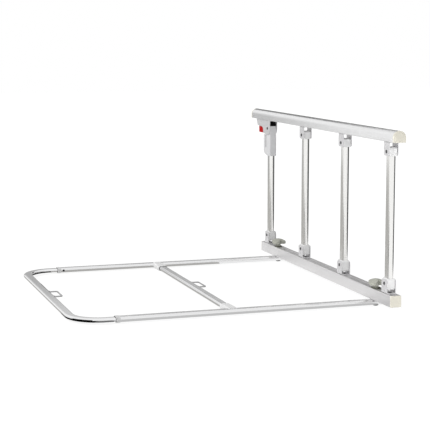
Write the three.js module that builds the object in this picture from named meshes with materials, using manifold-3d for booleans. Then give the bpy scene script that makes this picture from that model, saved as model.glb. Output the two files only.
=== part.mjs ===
// Folding bed guard rail. Four flat-oval posts are hinged between a square bottom bar and a
// D-section handrail, so that they fold down together, and a latch holds them upright. A frame of
// flat-oval tubes is clamped under the bar and reaches beneath the mattress, with a telescoping end.
// Millimetres, +Z up. X runs from the mattress side to the outside, Y along the rail to the latch.
// Inside this file x = 0 is the bar's inner face, y = 0 its middle and z = 0 its underside. The
// finished part stands on z = 0 with its origin in the middle of its footprint.

import * as THREE from "three";
import { mergeVertices } from "three/addons/utils/BufferGeometryUtils.js";
import Module from "manifold-3d";

const wasm = await Module();
wasm.setup();

// Driving sizes of the whole rail
const railHeight = 450;
const postCount = 4;
const postPitch = 290;
const frameReach = 789;

// Gaps: round a piece that moves or sits in a bore, and under a face that rests on another
const fit = 0.3;
const seat = 0.05;
const overrun = 1;

// Bottom bar, a square extrusion with a shallow channel along its top
const barSide = 30;
const barWall = 1.5;
const barCorner = 1.5;
const barEndMargin = 41;
const barChannelWidth = 9;
const barChannelDepth = 0.6;

// End caps of the bar
const barCapFlange = 3;
const barCapBevel = 0.8;
const barCapPlug = 14;
const barCapWall = 2;

// Handrail, a D-section extrusion, and its end caps
const handrailWidth = 34.5;
const handrailHeight = 30;
const handrailWall = 1.6;
const handrailFoot = 1.5;
const handrailNearReach = 43.5;
const handrailFarReach = 130.5;
const handrailCapFlange = 7;
const handrailCapBevel = 1.2;
const handrailCapStep = 1;
const handrailCapRim = 4.5;
const handrailCapPlug = 16;
const handrailCapWall = 2;

// Posts, flat-oval tubes with their long side along the rail
const postDepth = 31;
const postThickness = 16.5;
const postWall = 1.2;

// Plastic plugs in the ends of the posts, which carry the hinge bores
const plugWidth = 21;
const plugDepth = 30;
const plugCorner = 5;
const plugStem = 24;
const plugShoulder = 3;
const footPlugBelowPin = 17;
const footPlugAbovePin = 13;
const headPlugAbovePin = 11;
const headPlugBelowPin = 12;

// U-shaped hinge brackets on the bar and under the handrail
const bracketWidth = 26;
const bracketSheet = 2.2;
const bracketBend = 3;
const bracketLength = 32;
const bracketCorner = 12;
const footPinHeight = 26;
const headPinDrop = 25.5;
const cheekPastPin = 10.8;

// Hollow-ended hinge rivets
const pinRadius = 3;
const pinHeadRadius = 4.4;
const pinHeadHeight = 1.3;
const pinRecessRadius = 2.1;
const pinRecessDepth = 2.4;

// Latch housing on the head of the first post, drawn from that post's head pin
const housingWidth = 23.4;
const housingHeadWidth = 20.8;
const housingBack = 17;
const housingHeadFront = 24;
const housingTop = 7.5;
const housingShoulder = 20.6;
const housingDrop = 86;
const housingBulge = 40;
const housingSweep = 30;
const housingCorner = 4;
const housingGrooveFront = 17.5;
const housingGrooveWidth = 6;
const housingGrooveDepth = 1.2;
const housingGrooveLength = 40;
const housingSocketTop = 26;

// Latch cam, a black block with a round back concentric with the head pin
const camRadius = 22.8;
const camBack = 12;
const camNotchRadius = 2.2;
const camNotchAngle = 30 * (Math.PI / 180);

// Latch bracket, two long cheeks with a round nose and a finger arch
const latchNoseRadius = 19.5;
const latchToeReach = 38.8;
const latchToeDrop = 16.5;
const latchArchCentre = 66;
const latchArchRise = 20;
const latchTailReach = 90;
const latchTailDrop = 5;
const latchBaseReach = 100;

// Release trigger, a rocker on its own pin between the latch cheeks
const triggerPinReach = 68;
const triggerPinRise = 12;
const triggerPinRadius = 2;
const triggerPinHeadRadius = 3.6;
const triggerPinHeadHeight = 0.8;
const triggerBoss = 6.5;
const triggerWidth = 16;
const triggerPaddleBack = 50;
const triggerPaddleFront = 90;
const triggerPaddleTop = 4;
const triggerPaddleDrop = 17;
const triggerPaddleCorner = 3;
const tongueWidth = 10;
const tongueTop = 15;
const tongueThickness = 5.5;

// Compression spring above the tongue
const springReach = 48;
const springRadius = 2.8;
const springWire = 0.9;
const springTurns = 4;

// Side tubes of the mattress frame
const sideTubeFromPost = 73.5;
const sideTubeWidth = 27;
const sideTubeHeight = 13.6;
const sideTubeWall = 1.2;
const sideTubeLength = 715;
const sidePlugFlange = 2;
const sidePlugDepth = 14;

// Bolts and three-lobed knobs that clamp the side tubes to the bar
const clampFromInnerFace = 12.8;
const boltRadius = 4;
const boltHeadRadius = 8;
const boltHeadHeight = 3.6;
const boltHeadTopShare = 0.7;
const boltReach = 18;
const knobHeight = 24.5;
const knobHubRadius = 7.6;
const knobUnderside = 8.5;
const knobCoreRadius = 10;
const knobLobeCount = 3;
const knobLobeReach = 24;
const knobLobeRadius = 11.4;
const knobDomeRadius = 36;
const knobEdge = 4;
const knobTurnNear = -17 * (Math.PI / 180);
const knobTurnFar = -13 * (Math.PI / 180);

// Telescoping end of the frame, a U-shaped tube that slides in the side tubes
const endTubeWidth = 24;
const endTubeHeight = 10.6;
const endTubeWall = 1.2;
const endTubeBend = 78;
const endTubeInsertion = 132;

// Plastic collars on the open ends of the side tubes, and the lock screws beside them
const collarLip = 3;
const collarSleeve = 8;
const collarWall = 1.3;
const lockScrewFromEnd = 15;
const lockScrewHeadRadius = 3.2;
const lockScrewHeadHeight = 2;
const lockScrewRadius = 2.2;
const lockScrewSocketRadius = 1.4;
const lockScrewSocketDepth = 1.2;

// Cross bar between the side tubes, held in two plastic sockets
const crossBarPlace = 381.6;
const crossBarWidth = 24;
const crossBarHeight = 12;
const crossBarWall = 1.2;
const socketReach = 59;
const socketGap = 1.5;
const socketStem = 18;
const socketWidth = 27;
const socketNeckHeight = 14;
const socketCorner = 5;
const socketWall = 1.6;
const socketScrewPlace = 23;
const socketScrewRadius = 2;
const socketScrewDepth = 4;

// Wire loops for a strap, on the cross bar and on the end bar
const loopWireRadius = 2;
const loopReach = 22;
const loopSpan = 74;
const loopBend = 6;
const middleLoopShift = 12;

// Facets: steps in a quarter of a flat oval, in a small corner, in a tube bend and round a pin
const ovalSteps = 4;
const cornerSteps = 2;
const sweepSteps = 6;
const bendSteps = 8;
const roundSteps = 16;
const wireSteps = 8;
const springStepsPerTurn = 7;
const springWireSteps = 5;

// Places worked out from the sizes above
const quarter = Math.PI / 2;
const barMiddle = barSide / 2;
const barLength = (postCount - 1) * postPitch + 2 * barEndMargin;
const handrailUnderside = railHeight - handrailHeight;
const footPinZ = barSide + footPinHeight;
const headPinZ = handrailUnderside - headPinDrop;
const postSpan = headPinZ - footPinZ;
const firstPostY = ((postCount - 1) * postPitch) / 2;
const lastPostY = -firstPostY;
const sideTubeY = firstPostY - sideTubeFromPost;
const frameZ = -seat - sideTubeHeight / 2;
const sideTubeOuterEnd = barSide - sidePlugFlange;
const sideTubeInnerEnd = sideTubeOuterEnd - sideTubeLength;
const postY = (index) => firstPostY - index * postPitch;

// Finishes: colour, roughness and metalness
const finishes = {
  brushedAluminium: { color: 0xc9cacc, roughness: 0.38, metalness: 0.85 },
  silverSheet: { color: 0xd2d3d3, roughness: 0.42, metalness: 0.7 },
  chromedSteel: { color: 0xdcdddf, roughness: 0.12, metalness: 1.0 },
  zincSteel: { color: 0x6f7072, roughness: 0.4, metalness: 0.9 },
  whitePlastic: { color: 0xf0f0ee, roughness: 0.5, metalness: 0.0 },
  ivoryPlastic: { color: 0xe6e2d2, roughness: 0.5, metalness: 0.0 },
  greyPlastic: { color: 0xc5c7bc, roughness: 0.55, metalness: 0.0 },
  blackPlastic: { color: 0x101011, roughness: 0.5, metalness: 0.0 },
  redPlastic: { color: 0xd0141c, roughness: 0.35, metalness: 0.0 },
};

// Outline points and closed solids

function arc(centreX, centreY, radiusX, radiusY, from, to, steps) {
  return Array.from({ length: steps + 1 }, (_, i) => {
    const angle = from + ((to - from) * i) / steps;
    return new THREE.Vector2(centreX + radiusX * Math.cos(angle), centreY + radiusY * Math.sin(angle));
  });
}

// Quarter circle of a round corner, begun at a whole number of quarter turns
function roundCorner(x, y, radius, turns, steps) {
  return arc(x, y, radius, radius, turns * quarter, (turns + 1) * quarter, steps);
}

function circle(centreX, centreY, radius, steps = roundSteps) {
  return arc(centreX, centreY, radius, radius, 0, 4 * quarter, steps);
}

function roundedBox(width, height, radius, steps = cornerSteps) {
  const x = width / 2 - radius;
  const y = height / 2 - radius;
  return [
    ...roundCorner(x, y, radius, 0, steps),
    ...roundCorner(-x, y, radius, 1, steps),
    ...roundCorner(-x, -y, radius, 2, steps),
    ...roundCorner(x, -y, radius, 3, steps),
  ];
}

function flatOval(width, height) {
  return roundedBox(width, height, Math.min(width, height) / 2, ovalSteps);
}

function box(lowX, lowY, highX, highY) {
  return [
    new THREE.Vector2(lowX, lowY),
    new THREE.Vector2(highX, lowY),
    new THREE.Vector2(highX, highY),
    new THREE.Vector2(lowX, highY),
  ];
}

// Leaves out a point that lies on the next one, as where two arcs meet
function withoutDoubles(points) {
  const smallest = seat / 10;
  return points.filter((point, i) => point.distanceTo(points[(i + 1) % points.length]) > smallest);
}

function section(outline, holes) {
  const shape = new THREE.Shape(withoutDoubles(outline));
  shape.holes = holes.map((hole) => new THREE.Path(withoutDoubles(hole)));
  return shape;
}

function solid(geometry) {
  geometry.deleteAttribute("normal");
  geometry.deleteAttribute("uv");
  const merged = mergeVertices(geometry);
  const mesh = new wasm.Mesh({
    numProp: 3,
    vertProperties: new Float32Array(merged.attributes.position.array),
    triVerts: new Uint32Array(merged.index.array),
  });
  return new wasm.Manifold(mesh);
}

const xAxis = new THREE.Vector3(1, 0, 0);
const yAxis = new THREE.Vector3(0, 1, 0);
const zAxis = new THREE.Vector3(0, 0, 1);
const alongX = new THREE.Matrix4().makeBasis(yAxis, zAxis, xAxis);
const alongY = new THREE.Matrix4().makeBasis(xAxis, zAxis, yAxis.clone().negate());

function extrude(outline, depth, holes, bevel) {
  return new THREE.ExtrudeGeometry(section(outline, holes), {
    depth: depth - 2 * bevel,
    bevelEnabled: bevel > 0,
    bevelThickness: bevel,
    bevelSize: bevel,
    bevelOffset: -bevel,
    bevelSegments: 2,
  }).translate(0, 0, bevel);
}

// An outline in y and z carried along X
function prismX(outline, from, to, holes = []) {
  return solid(extrude(outline, to - from, holes, 0).applyMatrix4(alongX).translate(from, 0, 0));
}

// An outline in x and z carried along Y, with bevelled ends where a bevel is given
function prismY(outline, from, to, holes = [], bevel = 0) {
  return solid(extrude(outline, to - from, holes, bevel).applyMatrix4(alongY).translate(0, to, 0));
}

// An outline in x and y carried along Z
function prismZ(outline, from, to, holes = []) {
  return solid(extrude(outline, to - from, holes, 0).translate(0, 0, from));
}

// A profile of radius and height turned about Z
function turned(profile, steps = roundSteps) {
  const points = profile.map(([radius, height]) => new THREE.Vector2(radius, height));
  return new THREE.LatheGeometry(points, steps).rotateX(quarter);
}

// A path given by its stations, so that a straight run is one step and a bend is several
class StationPath extends THREE.Curve {
  constructor(stations) {
    super();
    this.stations = stations;
  }

  station(share) {
    return this.stations[Math.round(share * (this.stations.length - 1))];
  }

  getPointAt(share, target = new THREE.Vector3()) {
    return target.copy(this.station(share).point);
  }

  getTangentAt(share, target = new THREE.Vector3()) {
    return target.copy(this.station(share).tangent);
  }
}

// Stations of a U that runs along -X on one side, bends twice and comes back on the other side
function uStations(legEndX, endX, halfSpan, bend, steps) {
  const stations = [];
  const add = (x, y, tangentX, tangentY) => {
    stations.push({ point: new THREE.Vector3(x, y, 0), tangent: new THREE.Vector3(tangentX, tangentY, 0) });
  };
  add(legEndX, halfSpan, -1, 0);
  for (let i = 0; i <= steps; i += 1) {
    const along = Math.cos((quarter * i) / steps);
    const across = Math.sin((quarter * i) / steps);
    add(endX + bend * (1 - across), halfSpan - bend * (1 - along), -along, -across);
  }
  for (let i = 0; i <= steps; i += 1) {
    const across = Math.cos((quarter * i) / steps);
    const along = Math.sin((quarter * i) / steps);
    add(endX + bend * (1 - across), -halfSpan + bend * (1 - along), along, -across);
  }
  add(legEndX, -halfSpan, 1, 0);
  return stations;
}

function swept(outline, stations, holes = []) {
  return solid(
    new THREE.ExtrudeGeometry(section(outline, holes), {
      steps: stations.length - 1,
      bevelEnabled: false,
      extrudePath: new StationPath(stations),
    }),
  );
}

function join(first, ...others) {
  return others.reduce((whole, other) => whole.add(other), first);
}

function cut(whole, ...cutters) {
  return cutters.reduce((rest, cutter) => rest.subtract(cutter), whole);
}

// Named pieces

function piece(name, shape, finish, place) {
  const result = shape.getMesh();
  const geometry = new THREE.BufferGeometry();
  geometry.setAttribute("position", new THREE.BufferAttribute(result.vertProperties, result.numProp));
  geometry.setIndex(new THREE.BufferAttribute(result.triVerts, 1));
  geometry.computeVertexNormals();
  const mesh = new THREE.Mesh(geometry, new THREE.MeshStandardMaterial(finishes[finish]));
  mesh.name = name;
  mesh.position.set(...place);
  return mesh;
}

// Bottom bar: square tube with bolt holes over the side tubes
function bottomBar() {
  const outline = roundedBox(barSide, barSide, barCorner);
  const hollow = roundedBox(barSide - 2 * barWall, barSide - 2 * barWall, barCorner / 2);
  const tube = prismY(outline, -barLength / 2, barLength / 2, [hollow]);
  const channelLow = barSide / 2 - barChannelDepth;
  const channel = box(-barChannelWidth / 2, channelLow, barChannelWidth / 2, barSide / 2 + overrun);
  const boltX = clampFromInnerFace - barMiddle;
  const boltHole = (y) => prismZ(circle(boltX, y, boltRadius + fit), -barSide, barSide);
  return cut(
    tube,
    prismY(channel, -barLength / 2 - overrun, barLength / 2 + overrun),
    boltHole(sideTubeY),
    boltHole(-sideTubeY),
  );
}

// Cap of the bar: bevelled flange outside and a hollow plug inside, drawn for the near end
function barCap() {
  const inside = barSide - 2 * barWall - 2 * fit;
  const flange = prismY(
    roundedBox(barSide, barSide, barCorner),
    -barCapFlange,
    barCapFlange,
    [],
    barCapBevel,
  );
  const behind = prismY(box(-barSide, -barSide, barSide, barSide), -seat, 2 * barCapFlange);
  const plug = prismY(roundedBox(inside, inside, barCorner / 2), -barCapBevel, barCapPlug);
  const hollow = inside - 2 * barCapWall;
  const pocket = prismY(roundedBox(hollow, hollow, barCorner / 2), 0, barCapPlug + overrun);
  return cut(join(cut(flange, behind), plug), pocket);
}

// D-section of the handrail, inset all round by a margin, with z = 0 at its underside
function handrailOutline(margin) {
  const radius = handrailWidth / 2 - margin;
  const crownZ = handrailHeight - handrailWidth / 2;
  const corner = Math.max(handrailFoot - margin, seat);
  return [
    ...arc(0, crownZ, radius, radius, 0, 2 * quarter, 4 * ovalSteps),
    ...roundCorner(-radius + corner, margin + corner, corner, 2, cornerSteps),
    ...roundCorner(radius - corner, margin + corner, corner, 3, cornerSteps),
  ];
}

function handrail() {
  const near = lastPostY - handrailNearReach;
  const far = firstPostY + handrailFarReach;
  return prismY(handrailOutline(0), near, far, [handrailOutline(handrailWall)]);
}

// Cap of the handrail: D-shaped flange with a raised field, drawn for the near end
function handrailCap() {
  const flange = prismY(
    handrailOutline(0),
    -handrailCapFlange,
    handrailCapFlange,
    [],
    handrailCapBevel,
  );
  const beyond = 2 * handrailHeight;
  const behind = prismY(box(-beyond, -beyond, beyond, beyond), -seat, 2 * handrailCapFlange);
  const field = prismY(
    handrailOutline(handrailCapRim),
    -handrailCapFlange - handrailCapStep,
    -handrailCapFlange + handrailCapBevel,
  );
  const inner = handrailWall + fit;
  const plug = prismY(
    handrailOutline(inner),
    -handrailCapBevel,
    handrailCapPlug,
  );
  const pocket = prismY(handrailOutline(inner + handrailCapWall), 0, handrailCapPlug + overrun);
  return cut(join(cut(flange, behind), field, plug), pocket);
}

// U-channel in x and z with its base at the given depth below z = 0 and legs up to a height
function channelOutline(baseDepth, legHeight) {
  const outer = bracketWidth / 2;
  const inner = outer - bracketSheet;
  const innerBend = bracketBend - bracketSheet;
  return [
    ...roundCorner(-outer + bracketBend, -baseDepth + bracketBend, bracketBend, 2, cornerSteps),
    ...roundCorner(outer - bracketBend, -baseDepth + bracketBend, bracketBend, 3, cornerSteps),
    new THREE.Vector2(outer, legHeight),
    new THREE.Vector2(inner, legHeight),
    ...roundCorner(inner - innerBend, -baseDepth + bracketBend, innerBend, 3, cornerSteps).reverse(),
    ...roundCorner(-inner + innerBend, -baseDepth + bracketBend, innerBend, 2, cornerSteps).reverse(),
    new THREE.Vector2(-inner, legHeight),
    new THREE.Vector2(-outer, legHeight),
  ];
}

function pinHole(radius, y, z) {
  return prismX(circle(y, z, radius + fit), -bracketWidth, bracketWidth);
}

// Hinge bracket, drawn from its pin with the base below and two round-cornered cheeks
function hingeBracket(pinToSeat) {
  const base = pinToSeat - seat;
  const half = bracketLength / 2;
  const channel = prismY(channelOutline(base, cheekPastPin), -half, half);
  const cheeks = prismX(
    [
      new THREE.Vector2(-half, -base),
      new THREE.Vector2(half, -base),
      ...roundCorner(half - bracketCorner, cheekPastPin - bracketCorner, bracketCorner, 0, sweepSteps),
      ...roundCorner(-half + bracketCorner, cheekPastPin - bracketCorner, bracketCorner, 1, sweepSteps),
    ],
    -bracketWidth,
    bracketWidth,
  );
  return cut(channel.intersect(cheeks), pinHole(pinRadius, 0, 0));
}

// Latch bracket, drawn upside down from the head pin: a long base, cheeks with a round nose about
// the pin, a toe that covers the housing and an arch that leaves the trigger free
function latchBracket() {
  const base = headPinDrop - seat;
  const toeSlope = Math.atan2(latchNoseRadius - latchToeDrop, latchToeReach);
  const archWidth = latchArchCentre - latchToeReach;
  const channel = prismY(channelOutline(base, latchNoseRadius), -latchNoseRadius, latchBaseReach);
  const cheeks = prismX(
    [
      new THREE.Vector2(-latchNoseRadius, -base),
      ...arc(0, 0, latchNoseRadius, latchNoseRadius, 2 * quarter, quarter - toeSlope, sweepSteps),
      ...arc(latchArchCentre, latchToeDrop, archWidth, latchArchRise, 2 * quarter, 3 * quarter, sweepSteps),
      new THREE.Vector2(latchTailReach, -latchTailDrop),
      new THREE.Vector2(latchBaseReach, -base),
    ].reverse(),
    -bracketWidth,
    bracketWidth,
  );
  return cut(
    channel.intersect(cheeks),
    pinHole(pinRadius, 0, 0),
    pinHole(triggerPinRadius, triggerPinReach, -triggerPinRise),
  );
}

// Rivet along X with a domed head at each end, drilled out where the ends are hollow
function rivet(radius, headRadius, headHeight, recessRadius, recessDepth) {
  const grip = bracketWidth / 2 + seat;
  const end = grip + headHeight;
  const half = [
    [radius, grip],
    [headRadius, grip],
    [headRadius, grip + headHeight / 3],
    [recessRadius, end],
    [recessRadius, end - recessDepth],
    [0, end - recessDepth],
  ];
  const mirrored = half.map(([r, z]) => [r, -z]).reverse();
  return solid(turned([...mirrored, ...half]).rotateY(quarter));
}

function hingePin() {
  return rivet(pinRadius, pinHeadRadius, pinHeadHeight, pinRecessRadius, pinRecessDepth);
}

function triggerPin() {
  const recess = triggerPinRadius / 2;
  const recessDepth = triggerPinHeadHeight / 2;
  return rivet(triggerPinRadius, triggerPinHeadRadius, triggerPinHeadHeight, recess, recessDepth);
}

// Plug in a post's end, drawn from its pin with the post above: a block with round lower corners,
// shoulders sloped in to the tube, and a stem that fills the tube
function hingePlug(belowPin, abovePin) {
  const half = plugDepth / 2;
  const shoulderZ = abovePin - plugShoulder;
  const side = prismX(
    [
      ...roundCorner(-half + plugCorner, -belowPin + plugCorner, plugCorner, 2, cornerSteps),
      ...roundCorner(half - plugCorner, -belowPin + plugCorner, plugCorner, 3, cornerSteps),
      new THREE.Vector2(half, abovePin),
      new THREE.Vector2(-half, abovePin),
    ],
    -plugWidth / 2,
    plugWidth / 2,
  );
  const front = prismY(
    [
      new THREE.Vector2(-plugWidth / 2, -belowPin),
      new THREE.Vector2(plugWidth / 2, -belowPin),
      new THREE.Vector2(plugWidth / 2, shoulderZ),
      new THREE.Vector2(postThickness / 2, abovePin),
      new THREE.Vector2(-postThickness / 2, abovePin),
      new THREE.Vector2(-plugWidth / 2, shoulderZ),
    ],
    -plugDepth,
    plugDepth,
  );
  const inset = 2 * (postWall + fit);
  const stem = prismZ(
    flatOval(postThickness - inset, postDepth - inset),
    shoulderZ,
    abovePin + plugStem,
  );
  return cut(join(side.intersect(front), stem), pinHole(pinRadius, 0, 0));
}

function postTube(from, to) {
  const inner = flatOval(postThickness - 2 * postWall, postDepth - 2 * postWall);
  return prismZ(flatOval(postThickness, postDepth), from, to, [inner]);
}

// Latch housing: a sleeve over the post with a bulge to the front that sweeps back to the post,
// and a narrower head that turns between the latch cheeks
function latchHousing() {
  const sleeve = prismX(
    [
      new THREE.Vector2(-housingBack, -housingShoulder),
      new THREE.Vector2(-housingBack, -housingDrop),
      ...arc(0, -housingDrop + housingSweep, housingBulge, housingSweep, -quarter, 0, sweepSteps),
      new THREE.Vector2(housingBulge, -housingShoulder),
    ],
    -housingWidth / 2,
    housingWidth / 2,
  );
  const middle = (housingBulge - housingBack) / 2;
  const plan = roundedBox(housingWidth, housingBulge + housingBack, housingCorner);
  plan.forEach((point) => point.setY(point.y + middle));
  const moulded = prismZ(plan, -2 * housingDrop, 0);
  const head = prismX(
    box(-housingBack, -housingShoulder - overrun, housingHeadFront, housingTop),
    -housingHeadWidth / 2,
    housingHeadWidth / 2,
  );
  const socket = prismZ(
    flatOval(postThickness + 2 * fit, postDepth + 2 * fit),
    -housingDrop - overrun,
    -housingSocketTop,
  );
  const groove = box(
    housingGrooveFront - housingGrooveWidth / 2,
    -housingShoulder - housingGrooveLength,
    housingGrooveFront + housingGrooveWidth / 2,
    -housingShoulder + overrun,
  );
  const grooveFloor = housingWidth / 2 - housingGrooveDepth;
  return cut(
    join(
      cut(
        sleeve.intersect(moulded),
        prismX(groove, grooveFloor, housingWidth),
        prismX(groove, -housingWidth, -grooveFloor),
      ),
      head,
    ),
    socket,
    pinHole(pinRadius, 0, 0),
  );
}

// Latch cam: a block on the housing, round about the head pin, with a pocket for the tongue
function latchCam() {
  const low = housingTop + seat;
  const from = Math.asin(low / camRadius);
  const to = 2 * quarter - Math.acos(camBack / camRadius);
  const body = prismX(
    [new THREE.Vector2(-camBack, low), ...arc(0, 0, camRadius, camRadius, from, to, 2 * sweepSteps)],
    -housingHeadWidth / 2,
    housingHeadWidth / 2,
  );
  const notchY = camRadius * Math.cos(camNotchAngle);
  const notchZ = camRadius * Math.sin(camNotchAngle);
  return cut(body, prismX(circle(notchY, notchZ, camNotchRadius), -housingWidth, housingWidth));
}

// Release trigger, drawn from the head pin: a broad paddle below its pin and a narrow tongue that
// reaches back to the cam, held just outside the cam's round
function releaseTrigger() {
  const corner = triggerPaddleCorner;
  const tongueBottom = tongueTop - tongueThickness;
  const tongueTip = Math.sqrt((camRadius + 2 * fit) ** 2 - tongueBottom ** 2);
  const paddle = prismX(
    [
      ...roundCorner(triggerPaddleBack + corner, -triggerPaddleDrop + corner, corner, 2, cornerSteps),
      ...roundCorner(triggerPaddleFront - corner, -triggerPaddleDrop + corner, corner, 3, cornerSteps),
      ...roundCorner(triggerPaddleFront - corner, triggerPaddleTop - corner, corner, 0, cornerSteps),
      ...arc(triggerPinReach, triggerPinRise, triggerBoss, triggerBoss, 0, 2 * quarter, sweepSteps),
      new THREE.Vector2(triggerPaddleBack, triggerPaddleTop),
    ],
    -triggerWidth / 2,
    triggerWidth / 2,
  );
  const tongue = prismX(
    box(tongueTip, tongueBottom, triggerPinReach, tongueTop),
    -tongueWidth / 2,
    tongueWidth / 2,
  );
  return cut(join(paddle, tongue), pinHole(triggerPinRadius, triggerPinReach, triggerPinRise));
}

// Spring between the tongue and the latch bracket's base: a round wire on a helix
function triggerSpring() {
  const low = tongueTop + springWire / 2 + fit;
  const high = headPinDrop - bracketSheet - springWire / 2 - fit;
  const count = springTurns * springStepsPerTurn;
  const rise = (high - low) / (springTurns * 4 * quarter);
  const slope = Math.hypot(springRadius, rise);
  const stations = Array.from({ length: count + 1 }, (_, i) => {
    const angle = (4 * quarter * i) / springStepsPerTurn;
    return {
      point: new THREE.Vector3(Math.cos(angle), Math.sin(angle), 0)
        .multiplyScalar(springRadius)
        .setZ(low + rise * angle),
      tangent: new THREE.Vector3(
        (-springRadius * Math.sin(angle)) / slope,
        (springRadius * Math.cos(angle)) / slope,
        rise / slope,
      ),
    };
  });
  return swept(circle(0, 0, springWire / 2, springWireSteps), stations);
}

// Side tube along X with bolt holes under the bar and a screw hole in the side that faces inward
function sideTube(inward) {
  const inner = flatOval(sideTubeWidth - 2 * sideTubeWall, sideTubeHeight - 2 * sideTubeWall);
  const outline = flatOval(sideTubeWidth, sideTubeHeight);
  const tube = prismX(outline, sideTubeInnerEnd, sideTubeOuterEnd, [inner]);
  const screwX = sideTubeInnerEnd + lockScrewFromEnd;
  const screwHole = prismY(
    circle(screwX, 0, lockScrewRadius + fit),
    inward > 0 ? 0 : -sideTubeWidth,
    inward > 0 ? sideTubeWidth : 0,
  );
  const boltHole = prismZ(circle(clampFromInnerFace, 0, boltRadius + fit), -sideTubeHeight, sideTubeHeight);
  return cut(tube, boltHole, screwHole);
}

function sideTubePlug() {
  const inset = 2 * (sideTubeWall + fit);
  const flange = prismX(
    flatOval(sideTubeWidth, sideTubeHeight),
    sideTubeOuterEnd + seat,
    sideTubeOuterEnd + sidePlugFlange,
  );
  const stem = prismX(
    flatOval(sideTubeWidth - inset, sideTubeHeight - inset),
    sideTubeOuterEnd + sidePlugFlange / 2 - sidePlugDepth,
    sideTubeOuterEnd + sidePlugFlange / 2,
  );
  const boltWay = prismZ(
    circle(clampFromInnerFace, 0, boltRadius + fit),
    -sideTubeHeight,
    sideTubeHeight,
  );
  return cut(join(flange, stem), boltWay);
}

// Clamp bolt with a low round head under the side tube, drawn from the side tube's middle
function clampBolt() {
  const underside = -sideTubeHeight / 2 - seat;
  const top = sideTubeHeight / 2 + seat + barSide + boltReach;
  const profile = [
    [0, underside - boltHeadHeight],
    [boltHeadRadius * boltHeadTopShare, underside - boltHeadHeight],
    [boltHeadRadius, underside - boltHeadHeight / 2],
    [boltHeadRadius, underside],
    [boltRadius, underside],
    [boltRadius, top],
    [0, top],
  ];
  return solid(turned(profile));
}

// Clamp knob, drawn from its foot: a round hub below three lobes, under one low dome with a round edge
function clampKnob() {
  const boreTop = boltReach + fit;
  const edgeReach = knobLobeReach - knobEdge;
  const edgeAngle = Math.acos(edgeReach / (knobDomeRadius - knobEdge));
  const domeCentre = knobHeight - knobDomeRadius;
  const edgeCentre = domeCentre + (knobDomeRadius - knobEdge) * Math.sin(edgeAngle);
  const body = solid(
    turned([
      [0, knobUnderside],
      [knobLobeReach, knobUnderside],
      ...arc(edgeReach, edgeCentre, knobEdge, knobEdge, 0, edgeAngle, cornerSteps).map(({ x, y }) => [x, y]),
      ...arc(0, domeCentre, knobDomeRadius, knobDomeRadius, edgeAngle, quarter, sweepSteps)
        .slice(1, -1)
        .map(({ x, y }) => [x, y]),
      [0, knobHeight],
    ]),
  );
  const centre = knobLobeReach - knobLobeRadius;
  const lobes = Array.from({ length: knobLobeCount }, (_, i) => {
    const turn = (4 * quarter * i) / knobLobeCount;
    return prismZ(circle(centre * Math.cos(turn), centre * Math.sin(turn), knobLobeRadius), 0, knobHeight);
  });
  const plan = join(prismZ(circle(0, 0, knobCoreRadius), 0, knobHeight), ...lobes);
  const hub = prismZ(circle(0, 0, knobHubRadius), 0, knobUnderside + overrun);
  const bore = prismZ(circle(0, 0, boltRadius + fit), -overrun, boreTop);
  return cut(join(plan.intersect(body), hub), bore);
}

// Telescoping end: one tube bent twice, with its legs inside the side tubes
function endTube() {
  const outline = flatOval(endTubeHeight, endTubeWidth);
  const inner = flatOval(endTubeHeight - 2 * endTubeWall, endTubeWidth - 2 * endTubeWall);
  const legEnd = sideTubeInnerEnd + endTubeInsertion;
  return swept(outline, uStations(legEnd, -frameReach, sideTubeY, endTubeBend, bendSteps), [inner]);
}

// Collar: a lip that guides the sliding leg and a sleeve over the side tube's end
function tubeCollar() {
  const grow = 2 * (collarWall + fit);
  const lipEnd = sideTubeInnerEnd - collarLip;
  const whole = prismX(
    flatOval(sideTubeWidth + grow, sideTubeHeight + grow),
    lipEnd,
    sideTubeInnerEnd + collarSleeve,
  );
  const overTube = prismX(
    flatOval(sideTubeWidth + 2 * fit, sideTubeHeight + 2 * fit),
    sideTubeInnerEnd - seat,
    sideTubeInnerEnd + collarSleeve + overrun,
  );
  const overLeg = prismX(
    flatOval(endTubeWidth + 2 * fit, endTubeHeight + 2 * fit),
    lipEnd - overrun,
    sideTubeInnerEnd,
  );
  return cut(whole, overTube, overLeg);
}

// Lock screw along +Y into a side tube's wall, drawn from the side tube's middle
function lockScrew() {
  const wallFace = -sideTubeWidth / 2;
  const tip = -endTubeWidth / 2 - fit;
  const profile = [
    [0, wallFace - seat - lockScrewHeadHeight + lockScrewSocketDepth],
    [lockScrewSocketRadius, wallFace - seat - lockScrewHeadHeight + lockScrewSocketDepth],
    [lockScrewSocketRadius, wallFace - seat - lockScrewHeadHeight],
    [lockScrewHeadRadius, wallFace - seat - lockScrewHeadHeight],
    [lockScrewHeadRadius, wallFace - seat],
    [lockScrewRadius, wallFace - seat],
    [lockScrewRadius, tip],
    [0, tip],
  ];
  return solid(turned(profile).rotateX(-quarter));
}

function crossBar() {
  const half = sideTubeY - sideTubeWidth / 2 - socketReach;
  const inner = flatOval(crossBarWidth - 2 * crossBarWall, crossBarHeight - 2 * crossBarWall);
  return prismY(flatOval(crossBarWidth, crossBarHeight), -half, half, [inner]);
}

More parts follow.
